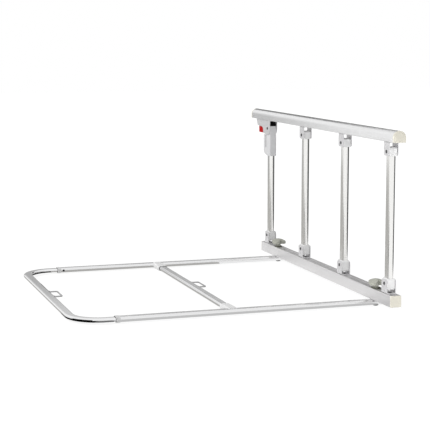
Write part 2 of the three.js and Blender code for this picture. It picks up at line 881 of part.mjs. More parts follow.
// Cross bar socket, drawn from a side tube's middle with the cross bar towards +Y: a sleeve with
// round corners that grips half of the tube, thins towards the cross bar and has a stem inside it
function crossBarSocket() {
  const tubeEdge = sideTubeWidth / 2;
  const face = tubeEdge + socketReach - socketGap;
  const high = sideTubeHeight / 2 + socketWall;
  const low = socketNeckHeight / 2;
  const sleeve = prismY(roundedBox(socketWidth, 2 * high, socketCorner), 0, face);
  const side = prismX(
    [
      new THREE.Vector2(0, -high),
      new THREE.Vector2(tubeEdge + socketWall, -high),
      new THREE.Vector2(face, -low),
      new THREE.Vector2(face, low),
      new THREE.Vector2(tubeEdge + socketWall, high),
      new THREE.Vector2(0, high),
    ],
    -socketWidth,
    socketWidth,
  );
  const inset = 2 * (crossBarWall + fit);
  const stem = prismY(
    flatOval(crossBarWidth - inset, crossBarHeight - inset),
    face - overrun,
    tubeEdge + socketReach + socketStem,
  );
  const tubeWay = prismX(
    flatOval(sideTubeWidth + 2 * fit, sideTubeHeight + 2 * fit),
    -socketWidth,
    socketWidth,
  );
  const screwHole = prismX(
    circle(tubeEdge + socketScrewPlace, 0, socketScrewRadius),
    -socketWidth,
    -socketWidth / 2 + socketScrewDepth,
  );
  return cut(join(cut(sleeve.intersect(side), tubeWay), stem), screwHole);
}

// Strap loop: a bent wire whose two legs end at the edge of the bar that carries it
function strapLoop() {
  const halfSpan = loopSpan / 2 - loopWireRadius;
  const stations = uStations(0, -loopReach, halfSpan, loopBend, cornerSteps + 1);
  return swept(circle(0, 0, loopWireRadius, wireSteps), stations);
}

// Assembly

const rail = new THREE.Group();
const barZ = barSide / 2;

rail.add(piece("bottom_bar", bottomBar(), "brushedAluminium", [barMiddle, 0, barZ]));
const barCapNear = piece("bottom_bar_cap_near", barCap(), "ivoryPlastic", [barMiddle, -barLength / 2, barZ]);
const barCapFar = piece("bottom_bar_cap_far", barCap(), "ivoryPlastic", [barMiddle, barLength / 2, barZ]);
barCapFar.rotation.z = Math.PI;
rail.add(barCapNear, barCapFar);

for (let index = 0; index < postCount; index += 1) {
  const number = index + 1;
  const y = postY(index);
  const foot = [barMiddle, y, footPinZ];
  rail.add(piece(`foot_bracket_${number}`, hingeBracket(footPinHeight), "silverSheet", foot));
  rail.add(piece(`foot_pin_${number}`, hingePin(), "zincSteel", foot));
  rail.add(piece(`foot_plug_${number}`, hingePlug(footPlugBelowPin, footPlugAbovePin), "whitePlastic", foot));

  const isLatchPost = index === 0;
  const tubeTop = isLatchPost ? postSpan - housingSocketTop - seat : postSpan - headPlugBelowPin - seat;
  const tube = postTube(footPlugAbovePin + seat, tubeTop);
  rail.add(piece(`post_tube_${number}`, tube, "brushedAluminium", foot));
}

const handrailGroup = new THREE.Group();
rail.add(handrailGroup);
handrailGroup.position.set(barMiddle, 0, handrailUnderside);
handrailGroup.add(piece("handrail", handrail(), "brushedAluminium", [0, 0, 0]));
const handrailNear = lastPostY - handrailNearReach;
const handrailFar = firstPostY + handrailFarReach;
const handrailCapNear = piece("handrail_cap_near", handrailCap(), "ivoryPlastic", [0, handrailNear, 0]);
const handrailCapFar = piece("handrail_cap_far", handrailCap(), "ivoryPlastic", [0, handrailFar, 0]);
handrailCapFar.rotation.z = Math.PI;
handrailGroup.add(handrailCapNear, handrailCapFar);

for (let index = 0; index < postCount; index += 1) {
  const number = index + 1;
  const head = [0, postY(index), -headPinDrop];
  handrailGroup.add(piece(`head_pin_${number}`, hingePin(), "zincSteel", head));
  if (index === 0) {
    const bracket = piece("latch_bracket", latchBracket(), "silverSheet", head);
    bracket.rotation.y = Math.PI;
    handrailGroup.add(bracket);
    handrailGroup.add(piece("latch_housing", latchHousing(), "silverSheet", head));
    handrailGroup.add(piece("latch_cam", latchCam(), "blackPlastic", head));
    handrailGroup.add(piece("release_trigger", releaseTrigger(), "redPlastic", head));
    const springPlace = [0, head[1] + springReach, head[2]];
    handrailGroup.add(piece("trigger_spring", triggerSpring(), "zincSteel", springPlace));
    const triggerPlace = [0, head[1] + triggerPinReach, head[2] + triggerPinRise];
    handrailGroup.add(piece("trigger_pin", triggerPin(), "silverSheet", triggerPlace));
  } else {
    const bracket = piece(`head_bracket_${number}`, hingeBracket(headPinDrop), "silverSheet", head);
    const plugShape = hingePlug(headPlugAbovePin, headPlugBelowPin);
    const plug = piece(`head_plug_${number}`, plugShape, "whitePlastic", head);
    bracket.rotation.y = Math.PI;
    plug.rotation.y = Math.PI;
    handrailGroup.add(bracket, plug);
  }
}

const frame = new THREE.Group();
rail.add(frame);
frame.position.z = frameZ;
for (const [end, y, knobTurn] of [["near", -sideTubeY, knobTurnNear], ["far", sideTubeY, knobTurnFar]]) {
  const inward = -Math.sign(y);
  frame.add(piece(`side_tube_${end}`, sideTube(inward), "chromedSteel", [0, y, 0]));
  frame.add(piece(`side_tube_plug_${end}`, sideTubePlug(), "whitePlastic", [0, y, 0]));
  frame.add(piece(`tube_collar_${end}`, tubeCollar(), "whitePlastic", [0, y, 0]));
  frame.add(piece(`clamp_bolt_${end}`, clampBolt(), "zincSteel", [clampFromInnerFace, y, 0]));
  const knobZ = barSide + fit - frameZ;
  const knob = piece(`clamp_knob_${end}`, clampKnob(), "greyPlastic", [clampFromInnerFace, y, knobZ]);
  knob.rotation.z = knobTurn;
  const screwX = sideTubeInnerEnd + lockScrewFromEnd;
  const screw = piece(`lock_screw_${end}`, lockScrew(), "zincSteel", [screwX, y, 0]);
  const socket = piece(`cross_bar_socket_${end}`, crossBarSocket(), "whitePlastic", [-crossBarPlace, y, 0]);
  if (inward < 0) {
    socket.rotation.x = Math.PI;
  } else {
    screw.rotation.z = Math.PI;
  }
  frame.add(knob, screw, socket);
}
frame.add(piece("cross_bar", crossBar(), "chromedSteel", [-crossBarPlace, 0, 0]));
frame.add(piece("end_tube", endTube(), "chromedSteel", [0, 0, 0]));
const loopEndX = -frameReach + endTubeWidth / 2 + fit;
const loopMiddleX = -crossBarPlace + crossBarWidth / 2 + fit;
for (const [place, x, y] of [["end", loopEndX, 0], ["middle", loopMiddleX, middleLoopShift]]) {
  const loop = piece(`strap_loop_${place}`, strapLoop(), "chromedSteel", [x, y, 0]);
  loop.rotation.z = Math.PI;
  frame.add(loop);
}

// The part stands on z = 0 with its origin in the middle of its footprint
const extent = new THREE.Box3().setFromObject(rail, true);
const middle = extent.getCenter(new THREE.Vector3());
rail.position.set(-middle.x, -middle.y, -extent.min.z);

const part = new THREE.Group();
part.add(rail);
export default part;
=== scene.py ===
"""Looks of the folding bed guard rail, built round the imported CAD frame. Metres, +Z up.

Each piece is worked out in millimetres from the bottom bar: x from its inner face, y from its
middle, z from its underside. It is then placed in the frame in metres.
"""

import math

import bmesh
import bpy
import numpy as np
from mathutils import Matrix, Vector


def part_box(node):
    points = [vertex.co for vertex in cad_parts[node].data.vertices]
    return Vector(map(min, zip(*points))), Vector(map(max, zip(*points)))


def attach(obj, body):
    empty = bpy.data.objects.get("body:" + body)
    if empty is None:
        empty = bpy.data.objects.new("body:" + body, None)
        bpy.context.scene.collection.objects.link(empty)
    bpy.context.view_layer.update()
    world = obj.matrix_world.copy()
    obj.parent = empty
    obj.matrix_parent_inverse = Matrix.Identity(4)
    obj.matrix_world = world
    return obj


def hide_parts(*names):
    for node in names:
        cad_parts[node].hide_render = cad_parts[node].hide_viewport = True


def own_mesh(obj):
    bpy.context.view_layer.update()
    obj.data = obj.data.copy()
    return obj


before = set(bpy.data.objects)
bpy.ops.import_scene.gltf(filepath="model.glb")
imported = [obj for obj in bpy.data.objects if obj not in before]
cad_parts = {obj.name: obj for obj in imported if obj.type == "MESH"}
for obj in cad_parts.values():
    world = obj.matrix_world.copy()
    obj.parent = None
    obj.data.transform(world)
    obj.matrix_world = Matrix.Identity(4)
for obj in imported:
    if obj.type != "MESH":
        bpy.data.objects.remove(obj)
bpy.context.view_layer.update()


# The camera stands on the mattress side, beyond the near end of the rail and a little above it.
# Its place is measured from the bottom bar's inner face, middle and underside.
camera_from_bar = (-1.45588, -3.5106, 0.69302)
camera_turn_degrees = 18.03625
camera_dip_degrees = 7.76843
focal_length_pixels = 1337.466
image_pixels = 430
sensor_millimetres = 36

bar_low, bar_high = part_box("bottom_bar")
bar_origin = np.array([bar_low.x, (bar_low.y + bar_high.y) / 2, bar_low.z])
camera_data = bpy.data.cameras.new("rail_camera")
camera_data.sensor_width = sensor_millimetres
camera_data.lens = sensor_millimetres * focal_length_pixels / image_pixels
camera = bpy.data.objects.new("rail_camera", camera_data)
camera.location = bar_origin + camera_from_bar
camera.rotation_euler = (math.radians(90 - camera_dip_degrees), 0, math.radians(-camera_turn_degrees))
bpy.context.scene.collection.objects.link(camera)
bpy.context.scene.camera = camera
bpy.context.scene.view_settings.view_transform = "Standard"


# The floor is a broad white sheet that the rail stands on. The camera and glossy surfaces see it
# white, and round the rail a share of plain diffuse white keeps the soft shadow on it.
floor_half_size = 12.0
floor_white = 0.9
floor_shadow_share = 0.2
floor_glow = 1.1
shadow_near, shadow_far = 0.45, 1.0


def new_material(name):
    """A new material, its node tree and the output, which is the tree's only node."""
    material = bpy.data.materials.new(name)
    material.use_nodes = True
    tree = material.node_tree
    tree.nodes.clear()
    return material, tree, tree.nodes.new("ShaderNodeOutputMaterial")


def node(tree, kind, sockets=()):
    """Adds a shader node. Sockets gives inputs a number, a colour or the output that feeds them."""
    made = tree.nodes.new(f"ShaderNode{kind}")
    for socket, value in dict(sockets).items():
        if isinstance(value, bpy.types.NodeSocket):
            tree.links.new(value, made.inputs[socket])
        else:
            made.inputs[socket].default_value = value
    return made


def combined(tree, operation, first, second):
    """Two values put together by a math operation."""
    made = node(tree, "Math", {0: first, 1: second})
    made.operation = operation
    return made.outputs[0]


def ranged(tree, value, low, high, start=0.3, end=0.7):
    """The value's span from start to end, stretched to run from low to high."""
    limits = {"From Min": start, "From Max": end, "To Min": low, "To Max": high}
    return node(tree, "MapRange", {"Value": value, **limits}).outputs[0]


def seen_directly(tree):
    """A value that is 1 for the camera's own rays and for reflected or transmitted ones, else 0."""
    path = node(tree, "LightPath").outputs
    seen = combined(tree, "MAXIMUM", path["Is Camera Ray"], path["Is Glossy Ray"])
    return combined(tree, "MAXIMUM", seen, path["Is Transmission Ray"])


def mesh_object(name, points, faces):
    """A smooth-shaded mesh object from points in metres and a list of faces."""
    mesh = bpy.data.meshes.new(name)
    mesh.from_pydata(np.asarray(points, float).tolist(), [], faces)
    mesh.shade_smooth()
    mesh.update()
    made = bpy.data.objects.new(name, mesh)
    bpy.context.scene.collection.objects.link(made)
    return made


def rectangle(x_low, y_low, x_high, y_high):
    """The corners of a rectangle, counter-clockwise."""
    return [(x_low, y_low), (x_high, y_low), (x_high, y_high), (x_low, y_high)]


def lying(x_low, y_low, x_high, y_high, height):
    """Corners of a sheet that lies at a height above the floor."""
    return [(*corner, height) for corner in rectangle(x_low, y_low, x_high, y_high)]


floor_reach = (-floor_half_size, -floor_half_size, floor_half_size, floor_half_size)
floor = mesh_object("floor", lying(*floor_reach, 0), [[0, 1, 2, 3]])
white_sheet, tree, output = new_material("white_sheet")
from_rail = node(tree, "VectorMath", {0: node(tree, "TexCoord").outputs["Object"]})
from_rail.operation = "LENGTH"
distance = from_rail.outputs["Value"]
glow_share = ranged(tree, distance, 1 - floor_shadow_share, 1, shadow_near, shadow_far)
glow_share.node.interpolation_type = "SMOOTHSTEP"
seen_share = combined(tree, "MULTIPLY", seen_directly(tree), glow_share)
diffuse = node(tree, "BsdfDiffuse", {"Color": (floor_white, floor_white, floor_white, 1)})
glow = node(tree, "Emission", {"Strength": floor_glow})
mix = node(tree, "MixShader", {"Fac": seen_share, 1: diffuse.outputs[0], 2: glow.outputs[0]})
tree.links.new(mix.outputs[0], output.inputs["Surface"])
floor.data.materials.append(white_sheet)


# The studio is a white surround, a broad lamp above the mattress side, a low one by the rail's end
# and a weak one opposite. Grey cards that only reflections show give the polished tubes their bands.
surround_light = 0.32

world = bpy.data.worlds.new("studio")
bpy.context.scene.world = world
world.use_nodes = True
tree = world.node_tree
surround = tree.nodes["Background"]
surround.inputs["Color"].default_value = (1, 1, 1, 1)
surround_strength = ranged(tree, seen_directly(tree), surround_light, 1, 0, 1)
tree.links.new(surround_strength, surround.inputs["Strength"])


def softbox(name, place, target, size, power):
    """A square area lamp at place that faces target and isn't seen itself."""
    data = bpy.data.lights.new(name, "AREA")
    data.size = size
    data.energy = power
    lamp = bpy.data.objects.new(name, data)
    lamp.location = place
    lamp.visible_camera = False
    lamp.visible_glossy = False
    aim = np.subtract(target, place)
    tilt = math.atan2(math.hypot(aim[0], aim[1]), -aim[2])
    lamp.rotation_euler = (tilt, 0, math.atan2(aim[1], aim[0]) - math.pi / 2)
    bpy.context.scene.collection.objects.link(lamp)


softbox("key_softbox", place=(-2.4, 0.1, 2.2), target=(0, 0, 0.2), size=1.6, power=78)
softbox("front_softbox", place=(0.15, -1.15, 0.25), target=(0.4, -0.45, 0.22), size=0.5, power=3.2)
softbox("fill_softbox", place=(2.2, -0.8, 1.6), target=(0, 0, 0.2), size=1.6, power=10)


def card(name, corners, grey):
    """A flat card between four corners, seen in reflections alone."""
    made = mesh_object(name, corners, [[0, 1, 2, 3]])
    made.visible_camera = False
    made.visible_diffuse = False
    made.visible_shadow = False
    made.visible_transmission = False
    material, tree, output = new_material(name)
    glow = node(tree, "Emission", {"Color": (*np.broadcast_to(grey, 3), 1)})
    tree.links.new(glow.outputs[0], output.inputs["Surface"])
    made.data.materials.append(material)


def standing(x_low, y_low, x_high, y_high, low, high):
    """Corners of an upright card over a line on the floor, between two heights."""
    return [(x_low, y_low, low), (x_high, y_high, low), (x_high, y_high, high), (x_low, y_low, high)]


# The lying cards overlap, so each is at its own height, from the lowest to the highest.
lowest, middle, highest = 0.0006, 0.0009, 0.0012
near_black, far_black = 0.004, 0.02
card("outer_card", standing(0.95, -0.9, 0.95, 1.0, 0, 0.45), 0.14)
card("far_card", standing(-0.7, 2.6, 2.8, 2.6, 0, 0.56), 0.46)
card("far_upper_card", standing(-0.7, 2.6, 2.8, 2.6, 0.56, 0.85), 0.66)
card("far_dark_card", standing(0.5, 2.6, 2.8, 2.6, 0.85, 1.8), 0.1)
card("floor_card", lying(-1.3, -0.62, 0.2, 3.6, lowest), (0.5, 0.495, 0.48))
card("near_tube_card", lying(-0.31, -0.6, 0.4, -0.3, middle), 0.64)
card("near_leg_card", lying(-0.36, -0.56, -0.31, -0.26, highest), 0.2)
card("near_bend_card", lying(-0.66, -0.58, -0.36, -0.26, highest), near_black)
card("near_bend_screen", standing(-0.61, -0.3, -0.43, -0.5, 0, 0.07), near_black)
card("far_bend_card", lying(-0.38, 0.2, -0.325, 0.31, highest), far_black)
card("far_bend_screen", standing(-0.37, 0.2, -0.32, 0.24, 0, 0.04), far_black)


# Bottom bar: a square aluminium extrusion, satin anodised, with a shallow channel along its top.
# It is sawn to length, so its drawing lines run from end to end.
bar_side = 30
bar_length = 952
bar_corner = 1.5
bar_channel_half = 4.5
bar_channel_depth = 0.6
bar_channel_corner = 0.25
bar_grain = (900, 5, 900)
millimetre = 0.001
fit_gap = 0.05
sharp_edge_degrees = 35


def placed(points):
    """Points in millimetres from the bar, as points in the frame in metres."""
    return points * millimetre + bar_origin


def filleted(corners, radii, steps=None):
    """A closed outline with its outward normals. Each corner of the polygon, taken
    counter-clockwise, is replaced by the arc of its radius that touches both its sides: the arc's
    centre lies on the corner's bisector at radius / sin(half the corner's angle)."""
    corners = np.array(corners, float)
    points, normals = [], []
    for index, radius in enumerate(np.broadcast_to(radii, len(corners))):
        corner = corners[index]
        back = corners[index - 1] - corner
        on = corners[(index + 1) % len(corners)] - corner
        back /= np.linalg.norm(back)
        on /= np.linalg.norm(on)
        bisector = (back + on) / np.linalg.norm(back + on)
        half = math.acos(np.clip(back @ on, -1, 1)) / 2
        centre = corner + bisector * radius / math.sin(half)
        bulge = 1 if on[0] * back[1] - on[1] * back[0] > 0 else -1
        start = corner + back * radius / math.tan(half) - centre
        end = corner + on * radius / math.tan(half) - centre
        first = math.atan2(start[1], start[0])
        swing = (math.atan2(end[1], end[0]) - first + math.pi) % (2 * math.pi) - math.pi
        angle = first + swing * np.linspace(0, 1, steps or int(min(5 + radius, 20)))
        direction = np.stack([np.cos(angle), np.sin(angle)], -1)
        points.append(centre + radius * direction)
        normals.append(bulge * direction)
    points, normals = np.concatenate(points), np.concatenate(normals)
    apart = np.linalg.norm(points - np.roll(points, -1, axis=0), axis=1) > 1e-3
    return points[apart], normals[apart]


def quarter_round(radius, steps):
    """Insets r (1 - sin t) and depths r (1 - cos t) along a rim that is a quarter of a circle."""
    turn = np.linspace(0, math.pi / 2, steps)
    return radius * (1 - np.sin(turn)), radius * (1 - np.cos(turn))


def run(low, high, edge=0.0, steps=4):
    """Insets and places of the sections of a straight run whose two rims are quarter rounds."""
    inset, depth = quarter_round(edge, steps + 1) if edge > 0 else np.zeros((2, 1))
    return np.concatenate([inset, inset[::-1]]), np.concatenate([low + depth, high - depth[::-1]])


column_order = {"x": [0, 1, 2], "y": [1, 0, 2], "z": [1, 2, 0]}


def carried(outline, sections, axis):
    """A grid of sections: the outline, drawn in along its normals by each section's inset, at that
    section's place along the axis. The outline lies in the other two axes, in the order x, y, z."""
    points, normals = outline
    inset, place = sections
    flat = points[None] - normals[None] * inset[:, None, None]
    along = np.broadcast_to(place[:, None, None], flat[..., :1].shape)
    return np.concatenate([along, flat], -1)[..., column_order[axis]]


def edged(piece, rims=0.0):
    """Keeps the sharp edges of a piece sharp, or rounds them by rims in millimetres."""
    piece.data.set_sharp_from_angle(angle=math.radians(sharp_edge_degrees))
    if rims:
        rounding = piece.modifiers.new("rims", "BEVEL")
        rounding.width = rims * millimetre
        rounding.segments = 2
        rounding.angle_limit = math.radians(40)
    flatten = piece.modifiers.new("flat_faces", "WEIGHTED_NORMAL")
    flatten.keep_sharp = True
    return piece


def solid_of(name, *grids, rims=0.0):
    """A piece made of grids of closed sections in millimetres. Quads join neighbouring sections and
    one face closes each end."""
    points, faces, count = [], [], 0
    for grid in grids:
        rows, columns = grid.shape[:2]
        index = np.arange(rows * columns).reshape(rows, columns) + count
        ahead = np.roll(index, -1, axis=1)
        sides = np.stack([index[:-1], ahead[:-1], ahead[1:], index[1:]], -1).reshape(-1, 4)
        faces += sides.tolist() + [index[0, ::-1].tolist(), index[-1].tolist()]
        points.append(grid.reshape(-1, 3))
        count += rows * columns
    made = mesh_object(name, placed(np.concatenate(points)), faces)
    shell = bmesh.new()
    shell.from_mesh(made.data)
    bmesh.ops.recalc_face_normals(shell, faces=shell.faces)
    shell.to_mesh(made.data)
    shell.free()
    return edged(made, rims)


def dressed(piece, finish, body, *nodes):
    """Gives a piece its finish's material, hangs it on its body and hides the CAD nodes it stands for."""
    material, slot = finish
    piece.data.materials.clear()
    piece.data.materials.append(material)
    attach(piece, body)
    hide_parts(*nodes)


def built(name, finish, body, nodes, *grids, rims=0.0):
    """A solid piece in its finish, on its body, that stands for a list of CAD nodes."""
    piece = solid_of(name, *grids, rims=rims)
    dressed(piece, finish, body, *nodes)
    return piece


def noise(tree, scale, detail, stretch=(1, 1, 1)):
    """A noise field on object coordinates, stretched along an axis where its scale is small."""
    coordinates = node(tree, "TexCoord").outputs["Object"]
    mapping = node(tree, "Mapping", {"Vector": coordinates, "Scale": stretch})
    field = {"Vector": mapping.outputs[0], "Scale": scale, "Detail": detail}
    return node(tree, "TexNoise", field).outputs["Fac"]


def tinted(tree, value, colour, share):
    """The colour, from darker to lighter by a share as the value rises."""
    mix = node(tree, "Mix")
    mix.data_type = "RGBA"
    mix.inputs["A"].default_value = (*[part * (1 - share) for part in colour], 1)
    mix.inputs["B"].default_value = (*[min(part * (1 + share), 1) for part in colour], 1)
    tree.links.new(ranged(tree, value, 0, 1), mix.inputs["Factor"])
    return mix.outputs["Result"]


def bumped(tree, value, strength, depth):
    """A bump of the given depth in millimetres from a value."""
    sockets = {"Height": value, "Strength": strength, "Distance": depth * millimetre}
    return node(tree, "Bump", sockets).outputs["Normal"]


def finished(material, slot, tree, output, sockets):
    """A finish: the material with a principled shader on these sockets, and its slot."""
    shader = node(tree, "BsdfPrincipled", sockets)
    tree.links.new(shader.outputs[0], output.inputs["Surface"])
    return material, slot


def metal_finish(name, slot, colour, metallic, roughness, grain, streaks=0.04, depth=0.02, marks=0.08):
    """Drawn or rolled metal. Noise stretched along the grain tints the colour by the streak share
    and makes the bump's fine lines, and a broad noise adds handling marks to the roughness."""
    material, tree, output = new_material(name)
    lines = noise(tree, scale=1, detail=4, stretch=grain)
    broad = noise(tree, scale=18, detail=3)
    sockets = {
        "Base Color": tinted(tree, lines, colour, streaks),
        "Roughness": ranged(tree, broad, roughness, roughness + marks),
        "Normal": bumped(tree, lines, strength=0.35, depth=depth),
        "Metallic": metallic,
    }
    return finished(material, slot, tree, output, sockets)


bar_finish = metal_finish("satin_bar", "brushed_aluminium", (0.705, 0.697, 0.7), 0.8, 0.3, bar_grain, 0.05)
channel_low, channel_high = bar_side / 2 - bar_channel_half, bar_side / 2 + bar_channel_half
channel_floor = bar_side - bar_channel_depth
bar_corners = [
    (0, 0), (bar_side, 0), (bar_side, bar_side), (channel_high, bar_side), (channel_high, channel_floor),
    (channel_low, channel_floor), (channel_low, bar_side), (0, bar_side),
]
bar_outline = filleted(bar_corners, [bar_corner] * 3 + [bar_channel_corner] * 4 + [bar_corner])
bar = carried(bar_outline, run(-bar_length / 2, bar_length / 2), "y")
built("bar_extrusion", bar_finish, "base", ["bottom_bar"], bar)


# Caps of the bar: ivory nylon, moulded with a slightly hollow face and pressed into each end.
# The mould leaves a fine matt texture and a round rim.
bar_cap_flange = 3
bar_cap_rim = 1.0
bar_cap_face_insets = [5.0, 3.4, 2.8]
bar_cap_face_depths = [0.4, 0.4, 0.05]
least_corner = 0.4


def plastic_finish(name, slot, colour, roughness, texture=0.03, mottle=0.03, scuffs=0.12, gloss=0.5):
    """Moulded plastic. A fine noise is the texture of the mould, a broad one mottles the colour by
    the mottle share, and scuffs roughen the surface where a middling noise is high."""
    material, tree, output = new_material(name)
    fine = noise(tree, scale=1400, detail=2)
    broad = noise(tree, scale=35, detail=4)
    scuffed = noise(tree, scale=160, detail=5)
    sockets = {
        "Base Color": tinted(tree, broad, colour, mottle),
        "Roughness": ranged(tree, scuffed, roughness, roughness + scuffs, start=0.45, end=0.75),
        "Normal": bumped(tree, fine, strength=0.4, depth=texture),
        "Specular IOR Level": gloss,
    }
    return finished(material, slot, tree, output, sockets)


ivory_nylon = plastic_finish(
    "ivory_nylon", "ivory_plastic", (0.7, 0.675, 0.59), 0.45, mottle=0.012, gloss=0.3
)


def cap_rows(outline_at, face, side, flange, insets, depths):
    """Sections of a cap from its face's middle back to the extrusion's end: the outline drawn in
    by each inset, at that depth below the cap's outermost plane."""
    flat = np.stack([outline_at(inset)[0] for inset in insets])
    along = face + side * (flange - np.array(depths))
    return np.insert(flat, 1, along[:, None], axis=-1)


def bar_cap_outline(inset):
    """The bar's square section drawn in by an inset, with the same count of points."""
    corners = rectangle(inset, inset, bar_side - inset, bar_side - inset)
    return filleted(corners, max(bar_corner - inset, least_corner), 7)


rim_insets, rim_depths = quarter_round(bar_cap_rim, 6)
insets = np.concatenate([bar_cap_face_insets, rim_insets, [0]])
depths = np.concatenate([bar_cap_face_depths, rim_depths, [bar_cap_flange]])
for end, side in (("near", -1), ("far", 1)):
    rows = cap_rows(bar_cap_outline, side * bar_length / 2, side, bar_cap_flange, insets, depths)
    built(f"bar_cap_{end}", ivory_nylon, "base", [f"bottom_bar_cap_{end}"], rows)


# Hinge brackets: silver painted steel, blanked with round upper corners, pierced and folded to a
# U. Four stand on the bar and three hang upside down under the handrail.
post_rows = (435, 145, -145, -435)
rail_middle = bar_side / 2
rail_underside = 420
bracket_half_width = 13
bracket_sheet = 2.2
bracket_bend = 3
bracket_half_length = 16
bracket_corner = 6
cheek_past_pin = 10.8
foot_pin_height = 56
head_pin_height = 394.5
sheet_rim = 0.35
sheet_steel = metal_finish(
    "painted_sheet", "silver_sheet", (0.69, 0.685, 0.695), 0.55, 0.36, (140, 140, 140), 0.05, 0.02, 0.1
)


def channel_rows(stations, leg_heights, base, upright=1):
    """A U of folded sheet as closed sections along y: the outer line from leg top to leg top with
    two round bends, and back along the inner line. The leg tops stand at their station's height.
    Heights count from the base's outer face, downwards where upright is -1."""
    outer_inset, outer_z = quarter_round(bracket_bend, 6)
    inner_inset, inner_rise = quarter_round(bracket_bend - bracket_sheet, 6)
    inner_half = bracket_half_width - bracket_sheet
    outer_x, inner_x = bracket_half_width - outer_inset, inner_half - inner_inset
    inner_z = bracket_sheet + inner_rise
    outer_line = [[-bracket_half_width], -outer_x[::-1], outer_x, [bracket_half_width]]
    x = np.concatenate([*outer_line, [inner_half], inner_x[::-1], -inner_x, [-inner_half]])
    z = np.concatenate([[0], outer_z[::-1], outer_z, [0, 0], inner_z[::-1], inner_z, [0]])
    half = len(x) // 2
    is_top = np.zeros(len(x), bool)
    is_top[[0, half - 1, half, -1]] = True
    heights = np.where(is_top[None], np.asarray(leg_heights)[:, None], z[None])
    along = np.broadcast_to(np.asarray(stations)[:, None], heights.shape)
    across = np.broadcast_to(x[None], heights.shape)
    return np.stack([rail_middle + across, along, base + upright * heights], -1)


def hinge_bracket_rows(post_y, base, leg, upright):
    """Channel sections whose cheeks have quarter-round upper corners: past the flat top the height
    falls as leg - r + sqrt(r^2 - d^2), where d is the distance from the corner's centre."""
    spread = bracket_half_length - quarter_round(bracket_corner, 14)[1]
    stations = np.concatenate([-spread, spread[::-1]])
    past = np.clip(np.abs(stations) - (bracket_half_length - bracket_corner), 0, bracket_corner)
    heights = leg - bracket_corner + np.sqrt(bracket_corner**2 - past**2)
    return channel_rows(post_y + stations, heights, base, upright)


hinges = [(place, number, y) for number, y in enumerate(post_rows, 1) for place in ("foot", "head")]
hinge_ends = {
    "foot": (foot_pin_height, bar_side, 1, "base"),
    "head": (head_pin_height, rail_underside, -1, "handrail_body"),
}
# The latch bracket holds the first post's head, which has no bracket or plug of its own.
bracketed = hinges[:1] + hinges[2:]
for place, number, post_y in bracketed:
    pin_height, base, upright, body = hinge_ends[place]
    rows = hinge_bracket_rows(post_y, base, abs(pin_height - base) + cheek_past_pin, upright)
    built(f"{place}_hinge_{number}", sheet_steel, body, [f"{place}_bracket_{number}"], rows, rims=sheet_rim)


# Hinge rivets: zinc-plated steel tubes through each pair of cheeks. Their ends are rolled over to
# a low head and leave the tube's hollow open.
rolled_rim_share = 0.3
rivet_mouth_depth = 0.4
rivet_mouth_share, rivet_hollow_share = 0.9, 0.85
zinc_steel = metal_finish(
    "zinc_plate", "zinc_steel", (0.09, 0.09, 0.093), 0.8, 0.4, (500, 500, 500), 0.12, 0.02, 0.15
)


def turned(profile, centre, axis, steps=32):
    """A profile of radius and place, turned about an axis through the centre."""
    profile = np.array(profile, float)
    angle = np.linspace(0, 2 * math.pi, steps, endpoint=False)
    radius = profile[:, 0, None]
    along = np.broadcast_to(profile[:, 1, None], (len(profile), steps))
    grid = np.stack([along, radius * np.cos(angle), radius * np.sin(angle)], -1)
    return grid[..., column_order[axis]] + np.array(centre, float)


def rivet_profile(radius, head_radius, head_height, hollow_radius, hollow_depth):
    """Both rolled heads of a rivet through a bracket's cheeks and the shank between them. A head
    rises from its rim to the mouth of the hollow as a quarter of an ellipse."""
    grip = bracket_half_width + fit_gap
    turn = np.linspace(0, math.pi / 2, 6)
    head_r = hollow_radius + (head_radius - hollow_radius) * np.cos(turn)
    head_z = grip + head_height * (rolled_rim_share + (1 - rolled_rim_share) * np.sin(turn))
    top = grip + head_height
    half = [(radius, grip), (head_radius, grip), *zip(head_r, head_z)]
    half.append((hollow_radius * rivet_mouth_share, top - rivet_mouth_depth))
    half.append((hollow_radius * rivet_hollow_share, top - hollow_depth))
    return [(r, -z) for r, z in reversed(half)] + half


profile = rivet_profile(radius=3, head_radius=4.4, head_height=1.3, hollow_radius=2.1, hollow_depth=2.4)
for place, number, post_y in hinges:
    pin_height, _, _, body = hinge_ends[place]
    rivet = turned(profile, (rail_middle, post_y, pin_height), "x")
    built(f"{place}_rivet_{number}", zinc_steel, body, [f"{place}_pin_{number}"], rivet)


# Bracket screws: two zinc pan heads on each foot bracket's base, under the plug, hold the bracket
# to the bar.
screw_spread = 10.5
screw_head_radius = 3.6
screw_head_height = 2.2
screw_crown_start = 0.35
screw_seat = bar_side + bracket_sheet + fit_gap
screw_recess = [(1.1, 0.94 * screw_head_height), (1.0, 0.4 * screw_head_height)]

turn = np.linspace(math.pi / 2, screw_crown_start, 6)
crown = zip(screw_head_radius * np.sin(turn), screw_head_height * np.cos(turn))
profile = [(screw_head_radius, 0), *crown, *screw_recess]
for number, post_y in enumerate(post_rows, 1):
    heads = [
        turned(profile, (rail_middle, post_y + shift, screw_seat), "z", 24)
        for shift in (-screw_spread, screw_spread)
    ]
    built(f"bracket_screws_{number}", zinc_steel, "base", [], *heads)


# Post plugs: white nylon blocks moulded with a stem that fills the tube's end. The block has round
# lower corners and slopes in to the tube at its shoulder.
plug_half_width = 10.5
plug_half_depth = 15
plug_corner = 5
plug_rim = 0.9
plug_plan_corner = 1.6
foot_plug_below, foot_plug_above = 17, 13
head_plug_below, head_plug_above = 12, 11
post_half_width = 8.25
post_half_depth = 15.5
shoulder_drops = np.array([1.2, 0.5, 0.1, 0])
shoulder_insets = [0, 0.5, 1.2, plug_half_width - post_half_width]
white_nylon = plastic_finish("white_nylon", "white_plastic", (0.79, 0.79, 0.79), 0.42, gloss=0.35)


